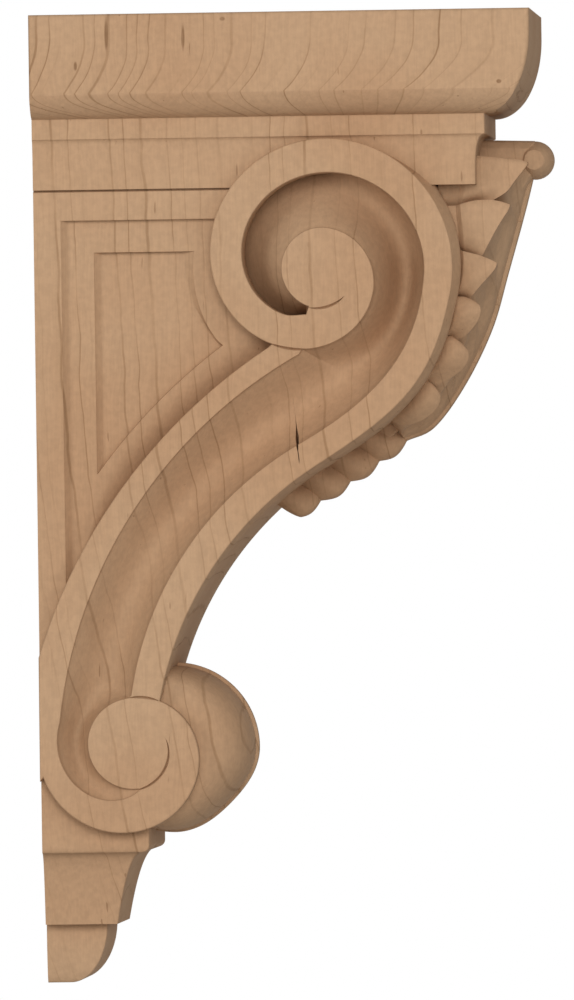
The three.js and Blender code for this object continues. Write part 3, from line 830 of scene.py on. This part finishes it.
# The front of the leaf: its midrib, the ground beside it, and a flute up each lobe
SLANT_FADES = (0.62, 0.36)
MIDRIB_HALF = 0.085
MIDRIB_RISE = 1.3
MIDRIB_ARRIS = 0.02
RIB_GROUND = (0.5, 0.4)
FLUTE_DEPTH = 2.4
FLUTE_BEGINS = 0.35
FLUTE_FADES = (0.8, 0.18)
FLUTE_SPREADS = (0.2, 0.25)
FLUTE_EDGE_POWER = 8

leaf_crest, leaf_edge, leaf_root = (curve_of(c) for c in (LEAF_CREST, LEAF_EDGE, LEAF_ROOT))


def leaf_station(lobe, rise, shift):
    """For a place up a lobe: the share along the leaf, the half width, and how far it stands out."""
    rounds_from = mix(*TIP_ROUNDS_FROM, lobe / (LEAF_LOBES - 1))
    tip_round = max(0.0, (rise - rounds_from) / (1 - rounds_from)) ** 2
    base_cut = LOBE_BASE_CUT * math.exp(-rise / LOBE_BASE_LENGTH)
    roundness = 1 - eased(lobe / LEAF_LOBES, ROUND_FADES)
    swell = math.sin(math.pi * rise**ROUND_SKEW) ** ROUND_FULLNESS
    t = (lobe + rise + shift * min(1.0, lobe + rise)) / LEAF_LOBES
    widening = math.sin(math.pi / 2 * min(1, t / LEAF_WIDENS))
    plan = mix(LEAF_FOOT_HALF, LEAF_HALF, widening)
    plan -= (LEAF_HALF - LEAF_TOP_HALF) * t**LEAF_NARROWS
    pointed = mix(LOBE_NARROWS, 1, rise) - base_cut - TIP_NARROWS * tip_round
    half = plan * mix(pointed, mix(ROUND_NARROWS, 1, swell), roundness)
    foot = mix(LOBE_FOOT, LOBE_TOP_FOOT, eased(t, TOP_LOBE))
    pointed = mix(foot, 1, rise) - (TIP_SHORTENS + TIP_SHORTENS_BELOW * (1 - t)) * tip_round
    lobed = mix(pointed, mix(ROUND_FOOT, 1, swell), roundness)
    return t, half, lobed


def leaf_back(t, y):
    """A point on the back of the leaf, sunk below its root."""
    along = leaf_root(min(1, t + TANGENT_STEP)) - leaf_root(max(0, t - TANGENT_STEP))
    p = leaf_root(t) + LEAF_SINK * left_of(along)
    return p[0], y, p[1]


def leaf_wall(lobe, rise, side, up):
    """A point on the side of a lobe, from its root to its edge, and the one behind it."""
    slope = np.interp(lobe + rise, range(LEAF_LOBES + 1), LOBE_SLOPES)
    arch = LOBE_ARCH * math.sin(math.pi * up) + slope * (1 - up) ** 2
    t, half, lobed = leaf_station(lobe, rise, arch - LOBE_TIP_FALL * up**LOBE_TIP_POWER)
    bulge = LOBE_BULGE * math.sin(math.pi * rise) * math.sin(math.pi * up) * (1 - t)
    crevice = CREVICE_DEPTH * (1 - smooth(up / CREVICE_SHARE))
    begins = LOBE_DRAWN_IN * (1 - rise) * smooth(up / CREVICE_SHARE) * (1 - up)
    p = leaf_root(t) + (leaf_edge(t) - leaf_root(t)) * lobed * (up + begins)
    y = side * (half + bulge - crevice)
    return (p[0], y, p[1]), leaf_back(t, y)


def leaf_face(lobe, rise, across):
    """A point on the fluted front of the leaf, from one edge to the other, and the one behind it."""
    out = abs(across)
    t, half, lobed = leaf_station(lobe, rise, -LOBE_TIP_FALL * out**LOBE_TIP_POWER)
    ground = leaf_root(t)
    reach = leaf_edge(t) - ground
    slant = LEAF_SLANT * (1 - out) * (1 - eased(t, SLANT_FADES))
    p = mix(leaf_crest(t - slant), ground + LOBE_MEAN * reach, out**LEAF_CAMBER)
    p = p + reach * (lobed - LOBE_MEAN) * out**LOBE_CONFINED
    fluted = smooth(rise / FLUTE_BEGINS) * (1 - eased(rise, FLUTE_FADES))
    flute = FLUTE_DEPTH * fluted * eased(out, FLUTE_SPREADS) * (1 - out**FLUTE_EDGE_POWER)
    beside_rib = MIDRIB_RISE * eased(out, (MIDRIB_HALF, MIDRIB_ARRIS)) * (1 - eased(out, RIB_GROUND))
    p = p - unit(reach) * (beside_rib + flute)
    return (p[0], across * half, p[1]), leaf_back(t, across * half)


def leaf_columns():
    """Places across the leaf, closer together beside the midrib."""
    right = [MIDRIB_HALF * b for b in MIDRIB_COLUMNS]
    return both_sides(right + list(np.linspace(LEAF_COLUMNS_FROM, 1, LEAF_FRONT_COLUMNS)))


def leaf():
    """The leaf: a fluted sheet with a midrib and lobes along both edges that lean out to their tips."""
    ups = [*WALL_FOOT_COLUMNS, *np.linspace(WALL_COLUMNS_FROM, 1, WALL_COLUMNS, endpoint=False)]
    front, back = [], []
    for lobe in range(LEAF_LOBES):
        for rise in LOBE_ROWS:
            row = [leaf_wall(lobe, rise, -1, up) for up in ups]
            row += [leaf_face(lobe, rise, across) for across in leaf_columns()]
            row += [leaf_wall(lobe, rise, 1, up) for up in ups[::-1]]
            front.append([seen for seen, behind in row])
            back.append([behind for seen, behind in row])
    return between("leaf", front, back)


# The beads: each swells along its length and ends in a blunt face that leans out over the next
BEAD_ROWS = 40
BEAD_SWELL = 2.7
BEAD_LEAN = 0.3
BEAD_TUCK = 0.16
BEAD_TIP = 0.01
BEAD_FIRST_BEGINS = 0.08
BEAD_END_SWELL = 2.2
BEAD_CREST = 0.5
BEAD_BACK = 0.66
BEAD_BLUNT = 1.4
BEAD_BOW = 1.6
BEAD_SQUARENESS = 2.6
BEAD_WAIST = 2.0
BEAD_END_TURNS = (25, 45, 60, 72)
BEAD_FACE_TURNS = (82, 88)
BEAD_FACE = 0.8
BEAD_FACE_ROUND = 0.2
BEAD_FACE_MIDDLE = 0.5


def bead_levels(begins, pitch):
    """Places along a bead and the share of its section there: a round start and a blunt end."""
    levels = []
    for s in np.linspace(begins, 1, BEAD_ROWS):
        begun = min(1, (s - begins) / BEAD_TUCK + BEAD_TIP)
        levels.append((s, math.sqrt(1 - (1 - begun) ** 2)))
    for a in np.radians(BEAD_END_TURNS):
        levels.append((1 + BEAD_BLUNT * math.sin(a) / pitch, BEAD_FACE + BEAD_FACE_ROUND * math.cos(a)))
    for a in np.radians(BEAD_FACE_TURNS):
        levels.append((1 + BEAD_BLUNT * math.sin(a) / pitch, BEAD_FACE_MIDDLE))
    return levels


def bead_drawn_in(s):
    """How much smaller a bead is at a place along it than at its crest."""
    if s < BEAD_CREST:
        return BEAD_SWELL * (1 - math.sin(math.pi / 2 * max(0, s) / BEAD_CREST))
    past = min(1, (s - BEAD_CREST) / (1 - BEAD_CREST))
    return BEAD_END_SWELL * (1 - math.cos(math.pi / 2 * past))


def squared(c):
    """A sine or cosine pushed outwards, so that a round section becomes squarer."""
    return math.copysign(abs(c) ** (2 / BEAD_SQUARENESS), c)


def beads():
    """The row of beads, each as a loft of rounded rings about a line along the ground."""
    first, last = point(*BEAD_FIRST), point(*BEAD_LAST)
    pitch = np.linalg.norm(last - first) / (BEAD_COUNT - 1)
    along, out = unit(last - first), -left_of(last - first)
    made = []
    for i in range(BEAD_COUNT):
        t = i / (BEAD_COUNT - 1)
        centre = mix(first, last, t) + out * BEAD_SAG * 4 * t * (1 - t)
        height, half = mix(*BEAD_HEIGHT, t), mix(*BEAD_HALF, t)
        begins = BEAD_FIRST_BEGINS if i == 0 else -BEAD_TUCK
        rings = []
        for s, scale in bead_levels(begins, pitch):
            drawn_in = bead_drawn_in(s)
            ring = []
            for a in np.linspace(0, math.tau, LONG_STEPS, endpoint=False):
                lift = scale * (height - drawn_in) * squared(math.cos(a))
                side = scale * (half - BEAD_WAIST * drawn_in) * squared(math.sin(a))
                up = max(0.0, lift / height)
                bow = BEAD_BOW * 4 * up * (1 - up) * smooth(s)
                p = centre + along * (pitch * (s - BEAD_BACK) + BEAD_LEAN * lift + bow) + out * lift
                ring.append((p[0], side, p[1]))
            rings.append(ring)
        made.append(loft("bead", rings))
    return made


def neck():
    outline = [
        point(COVE_REACH - LEAF_SINK, NECK_TOP),
        point(CURL["x"], NECK_TOP + NECK_RISE),
        point(CURL["x"] + NECK_OVER, CURL["drop"]),
        point(CURL["x"] - NECK_UNDER, NECK_FOOT),
        point(COVE_REACH - LEAF_SINK, NECK_FOOT),
    ]
    return across_width("neck", outline, NECK_HALF, NECK_ROUND)


def leaf_bed():
    return across_width("leaf_bed", [point(*corner) for corner in LEAF_BED], LEAF_BED_HALF)


def curl():
    rings = []
    centre = point(CURL["x"], CURL["drop"])
    for along in np.linspace(-1, 1, 2 * SHORT_STEPS + 1):
        radius = CURL["radius"] * math.sqrt(1 - CURL_BULGE * along * along)
        turns = np.linspace(0, math.tau, LONG_STEPS, endpoint=False)
        rings.append(at_width(along * CURL["half"], [centre + polar(radius, a) for a in turns]))
    return loft("curl", rings)


# The drying check in the near side of the scroll
CHECK_START = (94.2, 141.5)
CHECK_END = (97.0, 166.0)
CHECK_HALF = 0.75
CHECK_LEAST = 0.2
CHECK_SKEW = 1.3
CHECK_POINTED = 5
CHECK_DEPTH = 15.0
CHECK_TAPER = (1.0, 0.9, 0.2)

# The cut lines on the scroll: their section, and where they run about the eyes, in degrees
GROOVE_HALF = 0.55
GROOVE_DEPTH = 1.3
GROOVE_MOUTH = 2
GROOVE_LEAST = 0.05
UPPER_FOOT_LINE = (BACK_BAND_JOINS - 4, COIL_FOOT + 8)
LOWER_LANDING_LINE = (FRONT_BAND_LANDS - 2, INNER_EDGE_LANDS + 4)
UPPER_EYE_LINE = dict(radii=(15.4, 13.2), degrees=(250, 308), bend=1)
LOWER_EYE_LINE = dict(radii=(17.4, 11.9), degrees=(262, 370), bend=1.2)


def groove(side, path):
    """A cut line that tapers out at both ends, along a path on the scroll's face."""
    rings = []
    last = len(path) - 1
    for i, (p, beside) in enumerate(zip(path, lefts(path))):
        full = max(GROOVE_LEAST, math.sin(math.pi * i / last) ** 0.5)
        rings.append(on_side(side, [
            (p + beside * offset * GROOVE_HALF * full, SCROLL_HALF - GROOVE_DEPTH * depth)
            for offset, depth in ((-GROOVE_MOUTH, -1.0), (0, full), (GROOVE_MOUTH, -1.0))
        ]))
    return loft("groove", rings)


def eye_line(eye, line, steps):
    return [
        about_eye(eye, mix(*line["radii"], t ** line["bend"]), mix(*line["degrees"], t))
        for t in np.linspace(0, 1, steps)
    ]


def groove_paths():
    """The lines that part the coils from the bands they cross, and that run on into the eyes."""
    return (
        coil_points(UPPER_EYE, *UPPER_FOOT_LINE, LONG_STEPS // 2),
        coil_points(LOWER_EYE, *LOWER_LANDING_LINE, LONG_STEPS // 2),
        eye_line(UPPER_EYE, UPPER_EYE_LINE, LONG_STEPS // 2),
        eye_line(LOWER_EYE, LOWER_EYE_LINE, LONG_STEPS),
    )


def check():
    """The drying check in the near side: a thin spindle-shaped split across the hollow's edge."""
    start, end = point(*CHECK_START), point(*CHECK_END)
    beside = left_of(end - start)
    shape = []
    for side, places in ((1, np.linspace(0, 1, SHORT_STEPS)), (-1, np.linspace(1, 0, SHORT_STEPS))):
        for t in places[:-1]:
            pointed = math.sin(math.pi * t**CHECK_SKEW) ** CHECK_POINTED
            spread = CHECK_HALF * max(CHECK_LEAST, pointed)
            shape.append((mix(start, end, t), side * beside * spread))
    rings = []
    for depth, scale in zip((-CUT_PAST, CHECK_DEPTH / 2, CHECK_DEPTH), CHECK_TAPER):
        rings.append(at_width(depth - SCROLL_HALF, [p + offset * scale for p, offset in shape]))
    return loft("check", rings)


def corbel():
    block = body()
    for side in (-1, 1):
        panels = panel(side, 0, PANEL_STEP), panel(side, PANEL_MARGIN, 2 * PANEL_STEP)
        for tool in (quirk(side), *panels, trough(side)):
            combine(block, tool, "DIFFERENCE")
    for piece in (board(), bed_mould(), foot_drop(), knob(), ground_strip(), scroll()):
        combine(block, piece, "UNION")
    for side in (-1, 1):
        for tool in (hollow(side), *(groove(side, path) for path in groove_paths())):
            combine(block, tool, "DIFFERENCE")
    combine(block, check(), "DIFFERENCE")
    for piece in (swelling(), leaf(), *beads(), leaf_bed(), neck(), curl()):
        combine(block, piece, "UNION")
    block.name = "carved_corbel"
    return block


def finish_mesh(piece):
    """Smooth shading that stops at arrises, with flat faces kept flat."""
    mesh = piece.data
    mesh.polygons.foreach_set("use_smooth", [True] * len(mesh.polygons))
    mesh.set_sharp_from_angle(angle=math.radians(SMOOTH_ANGLE))
    weighted = piece.modifiers.new("flat_faces", "WEIGHTED_NORMAL")
    weighted.keep_sharp = True
    bpy.context.view_layer.objects.active = piece
    bpy.ops.object.modifier_apply(modifier=weighted.name)


# The wood, in metres and as linear colours: rings about a pith behind the back, flecks and fibres
PALE_WOOD = (0.482, 0.308, 0.183, 1)
WARM_WOOD = (0.452, 0.272, 0.155, 1)
RING_LINE = (0.235, 0.128, 0.06, 1)
FLECK = (0.2, 0.105, 0.05, 1)
PITH_BEHIND = 0.41
RING_SPACING = 0.0048
RING_WIDENS = 1.5
WANDERINGS = ((13.0, 0.006), (70.0, 0.0022))
WANDER_DETAIL = 1.5
YEAR_SCALE = 0.45
YEAR_SPREAD = 1.6

# The line that ends a ring: its half width, its darkness, and how it varies from ring to ring
RING_HALF = 0.00048
RING_CORE = 0.2
RING_DARKNESS = 0.68
LATE_WOOD = (0.1, 0.5, 0.0, 0.2)
RING_STRENGTH = (0.0, 0.8, 0.15, 1.0)
FADING_SCALE = 22.0
FADING = (0.35, 0.62, 0.35, 1.0)

# How the rings run on the top board: upright above, bent back below its middle, bowed under the arris
ARRIS_HEIGHT = (HEIGHT / 2 - BOARD_ARRIS) * MM
BOARD_FOOT_HEIGHT = (HEIGHT / 2 - BOARD_DEPTH) * MM
BEND_LENGTH = 0.018
BEND_RINGS = 1.5
BEND_POWER = 1.9
BOW_POWER = 2.3
BOW_MIDDLE = 0.12
BOW_RINGS = 47.0

# Below the board the rings are wider and drift out towards the foot
BODY_RINGS = 0.8
BODY_DRIFT = 60.0
BODY_LINES = 0.85

# Dark marks on the near face of the top board: x, drop, half width and half length in millimetres
MARKS = (
    (28.7, 7.6, 0.8, 7.0),
    (56.8, 9.0, 0.7, 5.4),
    (71.3, 2.4, 1.1, 0.9),
    (172.3, 26.8, 1.1, 0.9),
    (17.2, 19.0, 0.7, 1.9),
)
MARK_EDGE = (0.5, 1.1, 1.0, 0.0)
MARK_GRAIN = (0.3, 0.6, 1.0, 1.6)

# Fibres, flecks, mottling and clouds, and what each does to the shade, the gloss and the relief
FIBRE_STRETCH = (1300, 1300, 60)
FLECK_STRETCH = (800, 800, 80)
FLECK_RANGE = (0.785, 0.84)
FLECK_DARKNESS = 0.5
MOTTLE_SCALE = 420.0
CLOUD_SCALE = 14.0
NOISE_RANGE = (0.3, 0.7)
FIBRE_SHADE = (0.94, 1.0)
MOTTLE_SHADE = (-0.03, 0.05)
FIBRE_ROUGHNESS = (0.56, 0.66)
LINE_ROUGHNESS = 0.08
SPECULAR = 0.03
FIBRE_RELIEF = 0.5
LINE_RELIEF = -0.5
MOTTLE_RELIEF = 0.35
BUMP_STRENGTH = 0.35
BUMP_DISTANCE = 0.0003


def operation(name, swapped=False):
    return lambda self, other: self.nodes.calc(name, *((other, self) if swapped else (self, other)))


class Value:
    """What comes out of a node, to be used in plain formulas that become nodes."""

    def __init__(self, nodes, socket):
        self.nodes = nodes
        self.socket = socket

    __add__ = operation("ADD")
    __sub__ = operation("SUBTRACT")
    __rsub__ = operation("SUBTRACT", swapped=True)
    __mul__ = operation("MULTIPLY")
    __truediv__ = operation("DIVIDE")
    __rtruediv__ = operation("DIVIDE", swapped=True)
    __pow__ = operation("POWER")
    __lt__ = operation("LESS_THAN")
    __gt__ = operation("GREATER_THAN")


class Nodes:
    """Short ways to add nodes, with numbers or other nodes' values at their inputs."""

    def __init__(self, tree):
        self.tree = tree

    def fill(self, node, values):
        for name, value in values.items():
            if isinstance(value, Value):
                self.tree.links.new(value.socket, node.inputs[name])
            else:
                node.inputs[name].default_value = value

    def add(self, kind, values, output=0, **settings):
        made = self.tree.nodes.new("ShaderNode" + kind)
        for name, value in settings.items():
            setattr(made, name, value)
        self.fill(made, values)
        return Value(self, made.outputs[output])

    def calc(self, name, *values):
        return self.add("Math", dict(enumerate(values)), operation=name)

    def vector(self, name, *values):
        output = "Value" if name == "LENGTH" else "Vector"
        return self.add("VectorMath", dict(enumerate(values)), output, operation=name)

    def noise(self, place, scale, detail=2.0, output="Fac"):
        return self.add("TexNoise", dict(Vector=place, Scale=scale, Detail=detail), output)

    def ranged(self, *values):
        return self.add("MapRange", dict(enumerate(values)), interpolation_type="SMOOTHSTEP")

    def blend(self, share, a, b):
        return self.add("Mix", dict(Factor=share, A=a, B=b), "Result", data_type="RGBA")


def wandering(nodes, place):
    """The place in the wood, moved about so that the rings wander and waver."""
    moved = place
    for scale, reach in WANDERINGS:
        shift = nodes.noise(place, scale, WANDER_DETAIL, "Color")
        shift = nodes.vector("SUBTRACT", shift, (0.5, 0.5, 0.5))
        moved = nodes.vector("ADD", moved, nodes.vector("MULTIPLY", shift, (reach, reach, reach)))
    return moved


def ring_count(nodes, out, x, z, on_board):
    """How many rings lie between the back and a place: its whole part says which ring it is in."""
    rings = out * (1 - out * RING_WIDENS) / RING_SPACING
    below_middle = nodes.calc("MAXIMUM", (ARRIS_HEIGHT + BEND_LENGTH - z) / BEND_LENGTH, 0)
    bend = nodes.calc("MINIMUM", below_middle**BEND_POWER * BEND_RINGS, BEND_RINGS)
    under = nodes.calc("MAXIMUM", (ARRIS_HEIGHT - z) / (ARRIS_HEIGHT - BOARD_FOOT_HEIGHT), 0)
    board = rings + (bend + (x - BOW_MIDDLE) * BOW_RINGS * under**BOW_POWER)
    below_board = BOARD_FOOT_HEIGHT - z
    below = rings * BODY_RINGS - below_board * below_board * BODY_DRIFT
    count = below + (board - below) * on_board
    year = dict(W=count, Scale=YEAR_SCALE, Detail=0.0)
    return count + nodes.add("TexNoise", year, "Fac", noise_dimensions="1D") * YEAR_SPREAD


def ring_lines(nodes, place, out, count, on_board):
    """A thin line where each ring ends, as wide on wide rings as on narrow ones."""
    closer = (1 - out * (2 * RING_WIDENS)) * (on_board * (1 - BODY_RINGS) + BODY_RINGS)
    ring = nodes.calc("FRACT", count)
    beside = nodes.calc("ABSOLUTE", ring - 0.5) * (RING_SPACING / closer)
    line = nodes.ranged(beside, RING_CORE * RING_HALF, RING_HALF, 1.0, 0.0)
    line = nodes.calc("MAXIMUM", line, nodes.ranged(ring, *LATE_WOOD) * (ring < 0.5))
    which = dict(W=nodes.calc("FLOOR", count))
    strength = nodes.add("TexWhiteNoise", which, "Value", noise_dimensions="1D")
    fading = nodes.ranged(nodes.noise(place, FADING_SCALE), *FADING)
    line = line * nodes.ranged(strength, *RING_STRENGTH) * fading
    return line * (on_board * (1 - BODY_LINES) + BODY_LINES)


def dark_marks(nodes, place, y):
    """The dark marks on the near face of the top board."""
    marks = 0.0
    for across, drop, half, long in MARKS:
        off = nodes.vector("SUBTRACT", place, (across * MM, 0, (HEIGHT / 2 - drop) * MM))
        off = nodes.vector("MULTIPLY", off, (1 / (half * MM), 0, 1 / (long * MM)))
        marks = nodes.calc("MAXIMUM", marks, nodes.ranged(nodes.vector("LENGTH", off), *MARK_EDGE))
    return marks * (y < -FILLET_HALF * MM)


def new_material(name, values):
    material = bpy.data.materials.new(name)
    material.use_nodes = True
    nodes = Nodes(material.node_tree)
    nodes.fill(material.node_tree.nodes["Principled BSDF"], values)
    return material, nodes


def wood():
    """Pale close-grained wood with thin darker ring lines, flecks and fine fibres."""
    material, nodes = new_material("pale_wood", {"Specular IOR Level": SPECULAR})
    ranged = nodes.ranged
    place = nodes.add("TexCoord", {}, "Object")
    x, y, z = (nodes.add("SeparateXYZ", {0: place}, axis) for axis in "XYZ")
    moved = wandering(nodes, place)
    about_pith = nodes.vector("MULTIPLY", nodes.vector("ADD", moved, (PITH_BEHIND, 0, 0)), (1, 1, 0))
    out = nodes.vector("LENGTH", about_pith) - PITH_BEHIND
    on_board = z > BOARD_FOOT_HEIGHT
    line = ring_lines(nodes, place, out, ring_count(nodes, out, x, z, on_board), on_board)

    fibre = nodes.noise(nodes.vector("MULTIPLY", moved, FIBRE_STRETCH), 1.0)
    marks = dark_marks(nodes, place, y) * ranged(fibre, *MARK_GRAIN)
    fleck = nodes.noise(nodes.vector("MULTIPLY", moved, FLECK_STRETCH), 1.0, 0.5)
    fleck = nodes.calc("MAXIMUM", ranged(fleck, *FLECK_RANGE), marks)
    mottle = nodes.noise(place, MOTTLE_SCALE)
    cloud = nodes.noise(place, CLOUD_SCALE)

    colour = nodes.blend(ranged(cloud, *NOISE_RANGE), PALE_WOOD, WARM_WOOD)
    colour = nodes.blend(line * RING_DARKNESS, colour, RING_LINE)
    colour = nodes.blend(fleck * FLECK_DARKNESS, colour, FLECK)
    shade = ranged(fibre, *NOISE_RANGE, *FIBRE_SHADE) + ranged(mottle, *NOISE_RANGE, *MOTTLE_SHADE)
    relief = fibre * FIBRE_RELIEF + line * LINE_RELIEF + mottle * MOTTLE_RELIEF - fleck
    bump = dict(Strength=BUMP_STRENGTH, Distance=BUMP_DISTANCE, Height=relief)
    nodes.fill(material.node_tree.nodes["Principled BSDF"], {
        "Base Color": nodes.add("HueSaturation", dict(Value=shade, Color=colour)),
        "Roughness": ranged(fibre, *NOISE_RANGE, *FIBRE_ROUGHNESS) + line * LINE_ROUGHNESS,
        "Normal": nodes.add("Bump", bump),
    })
    return material


# The studio: a pale floor, and lamps given by name, turn about the near side in degrees, and power
FLOOR_DROP = 0.12
FLOOR_SIZE = 1.8
FLOOR_SEGMENTS = 96
FLOOR_PAINT = (0.82, 0.82, 0.81, 1)
FLOOR_ROUGHNESS = 0.9
LIGHT_DISTANCE = 2.5
LIGHT_SIZE = 0.9
LIGHT_RISE = 13.0
LAMPS = (("left", -40.0, 11.0), ("front", 4.0, 27.0), ("right", 40.0, 6.5))
SURROUND = 0.35
WHITE = (1, 1, 1, 1)


def pale_floor(low):
    """A round pale floor some way below the bracket."""
    mesh = bpy.data.meshes.new("floor")
    made = bmesh.new()
    bmesh.ops.create_circle(made, cap_ends=True, segments=FLOOR_SEGMENTS, radius=FLOOR_SIZE)
    made.to_mesh(mesh)
    made.free()
    paint = {"Base Color": FLOOR_PAINT, "Roughness": FLOOR_ROUGHNESS}
    mesh.materials.append(new_material("floor_paint", paint)[0])
    floor = add_object("floor", mesh)
    floor.location.z = low - FLOOR_DROP


def soft_lights():
    """Three soft lights round the near side."""
    middle = Vector((TOP_REACH / 2 * MM, 0, 0))
    rise = math.radians(LIGHT_RISE)
    for name, turn, power in LAMPS:
        light = bpy.data.lights.new(name, "AREA")
        light.shape = "SQUARE"
        light.size = LIGHT_SIZE
        light.energy = power
        lamp = add_object(name, light)
        across, ahead = polar(math.cos(rise), math.radians(turn) - math.pi / 2)
        lamp.location = middle + LIGHT_DISTANCE * Vector((across, ahead, math.sin(rise)))
        lamp.rotation_mode = "QUATERNION"
        lamp.rotation_quaternion = (middle - lamp.location).to_track_quat("-Z", "Y")


def surround():
    """A surround that gives a soft light all round and is seen as plain white."""
    world = bpy.data.worlds.new("surround")
    world.use_nodes = True
    nodes = Nodes(world.node_tree)
    soft = world.node_tree.nodes["Background"]
    nodes.fill(soft, dict(Color=WHITE, Strength=SURROUND))
    seen = nodes.add("Background", dict(Color=WHITE))
    rays = nodes.add("LightPath", {}, "Is Camera Ray")
    choose = nodes.add("MixShader", {0: rays, 1: Value(nodes, soft.outputs[0]), 2: seen})
    nodes.fill(world.node_tree.nodes["World Output"], {0: choose})
    bpy.context.scene.world = world


# The camera: far off, a little to the front of square on, and turned slightly in its own plane
CAMERA_DISTANCE = 6.0
CAMERA_YAW = 2.9
CAMERA_ROLL = 0.8
CAMERA_AIM = (0.0926, -TOP_HALF * MM, -0.0011)
VIEW_HEIGHT = 0.366
SENSOR = 36.0
SEES_TO = 100


def camera():
    data = bpy.data.cameras.new("camera")
    data.sensor_width = SENSOR
    data.lens = SENSOR * CAMERA_DISTANCE / VIEW_HEIGHT
    data.clip_end = SEES_TO
    view = add_object("camera", data)
    yaw = math.radians(CAMERA_YAW)
    ahead = Vector((-math.sin(yaw), math.cos(yaw), 0))
    view.location = Vector(CAMERA_AIM) - CAMERA_DISTANCE * ahead
    view.rotation_mode = "QUATERNION"
    turn = Matrix.Rotation(math.radians(CAMERA_ROLL), 3, ahead).to_quaternion()
    view.rotation_quaternion = turn @ ahead.to_track_quat("-Z", "Y")
    bpy.context.scene.camera = view


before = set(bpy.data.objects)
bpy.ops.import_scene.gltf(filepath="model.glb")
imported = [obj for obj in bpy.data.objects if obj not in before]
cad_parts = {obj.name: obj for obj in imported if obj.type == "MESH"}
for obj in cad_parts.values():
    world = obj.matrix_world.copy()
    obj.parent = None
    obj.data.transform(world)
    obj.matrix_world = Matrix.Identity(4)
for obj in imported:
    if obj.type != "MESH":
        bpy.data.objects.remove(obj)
cad_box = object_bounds()

camera()
carving = corbel()
finish_mesh(carving)
carving.data.materials.clear()
carving.data.materials.append(wood())
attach(carving, "root")
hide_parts("corbel")
pale_floor(cad_box[0].z)
soft_lights()
surround()
bpy.context.scene.view_settings.view_transform = "Standard"
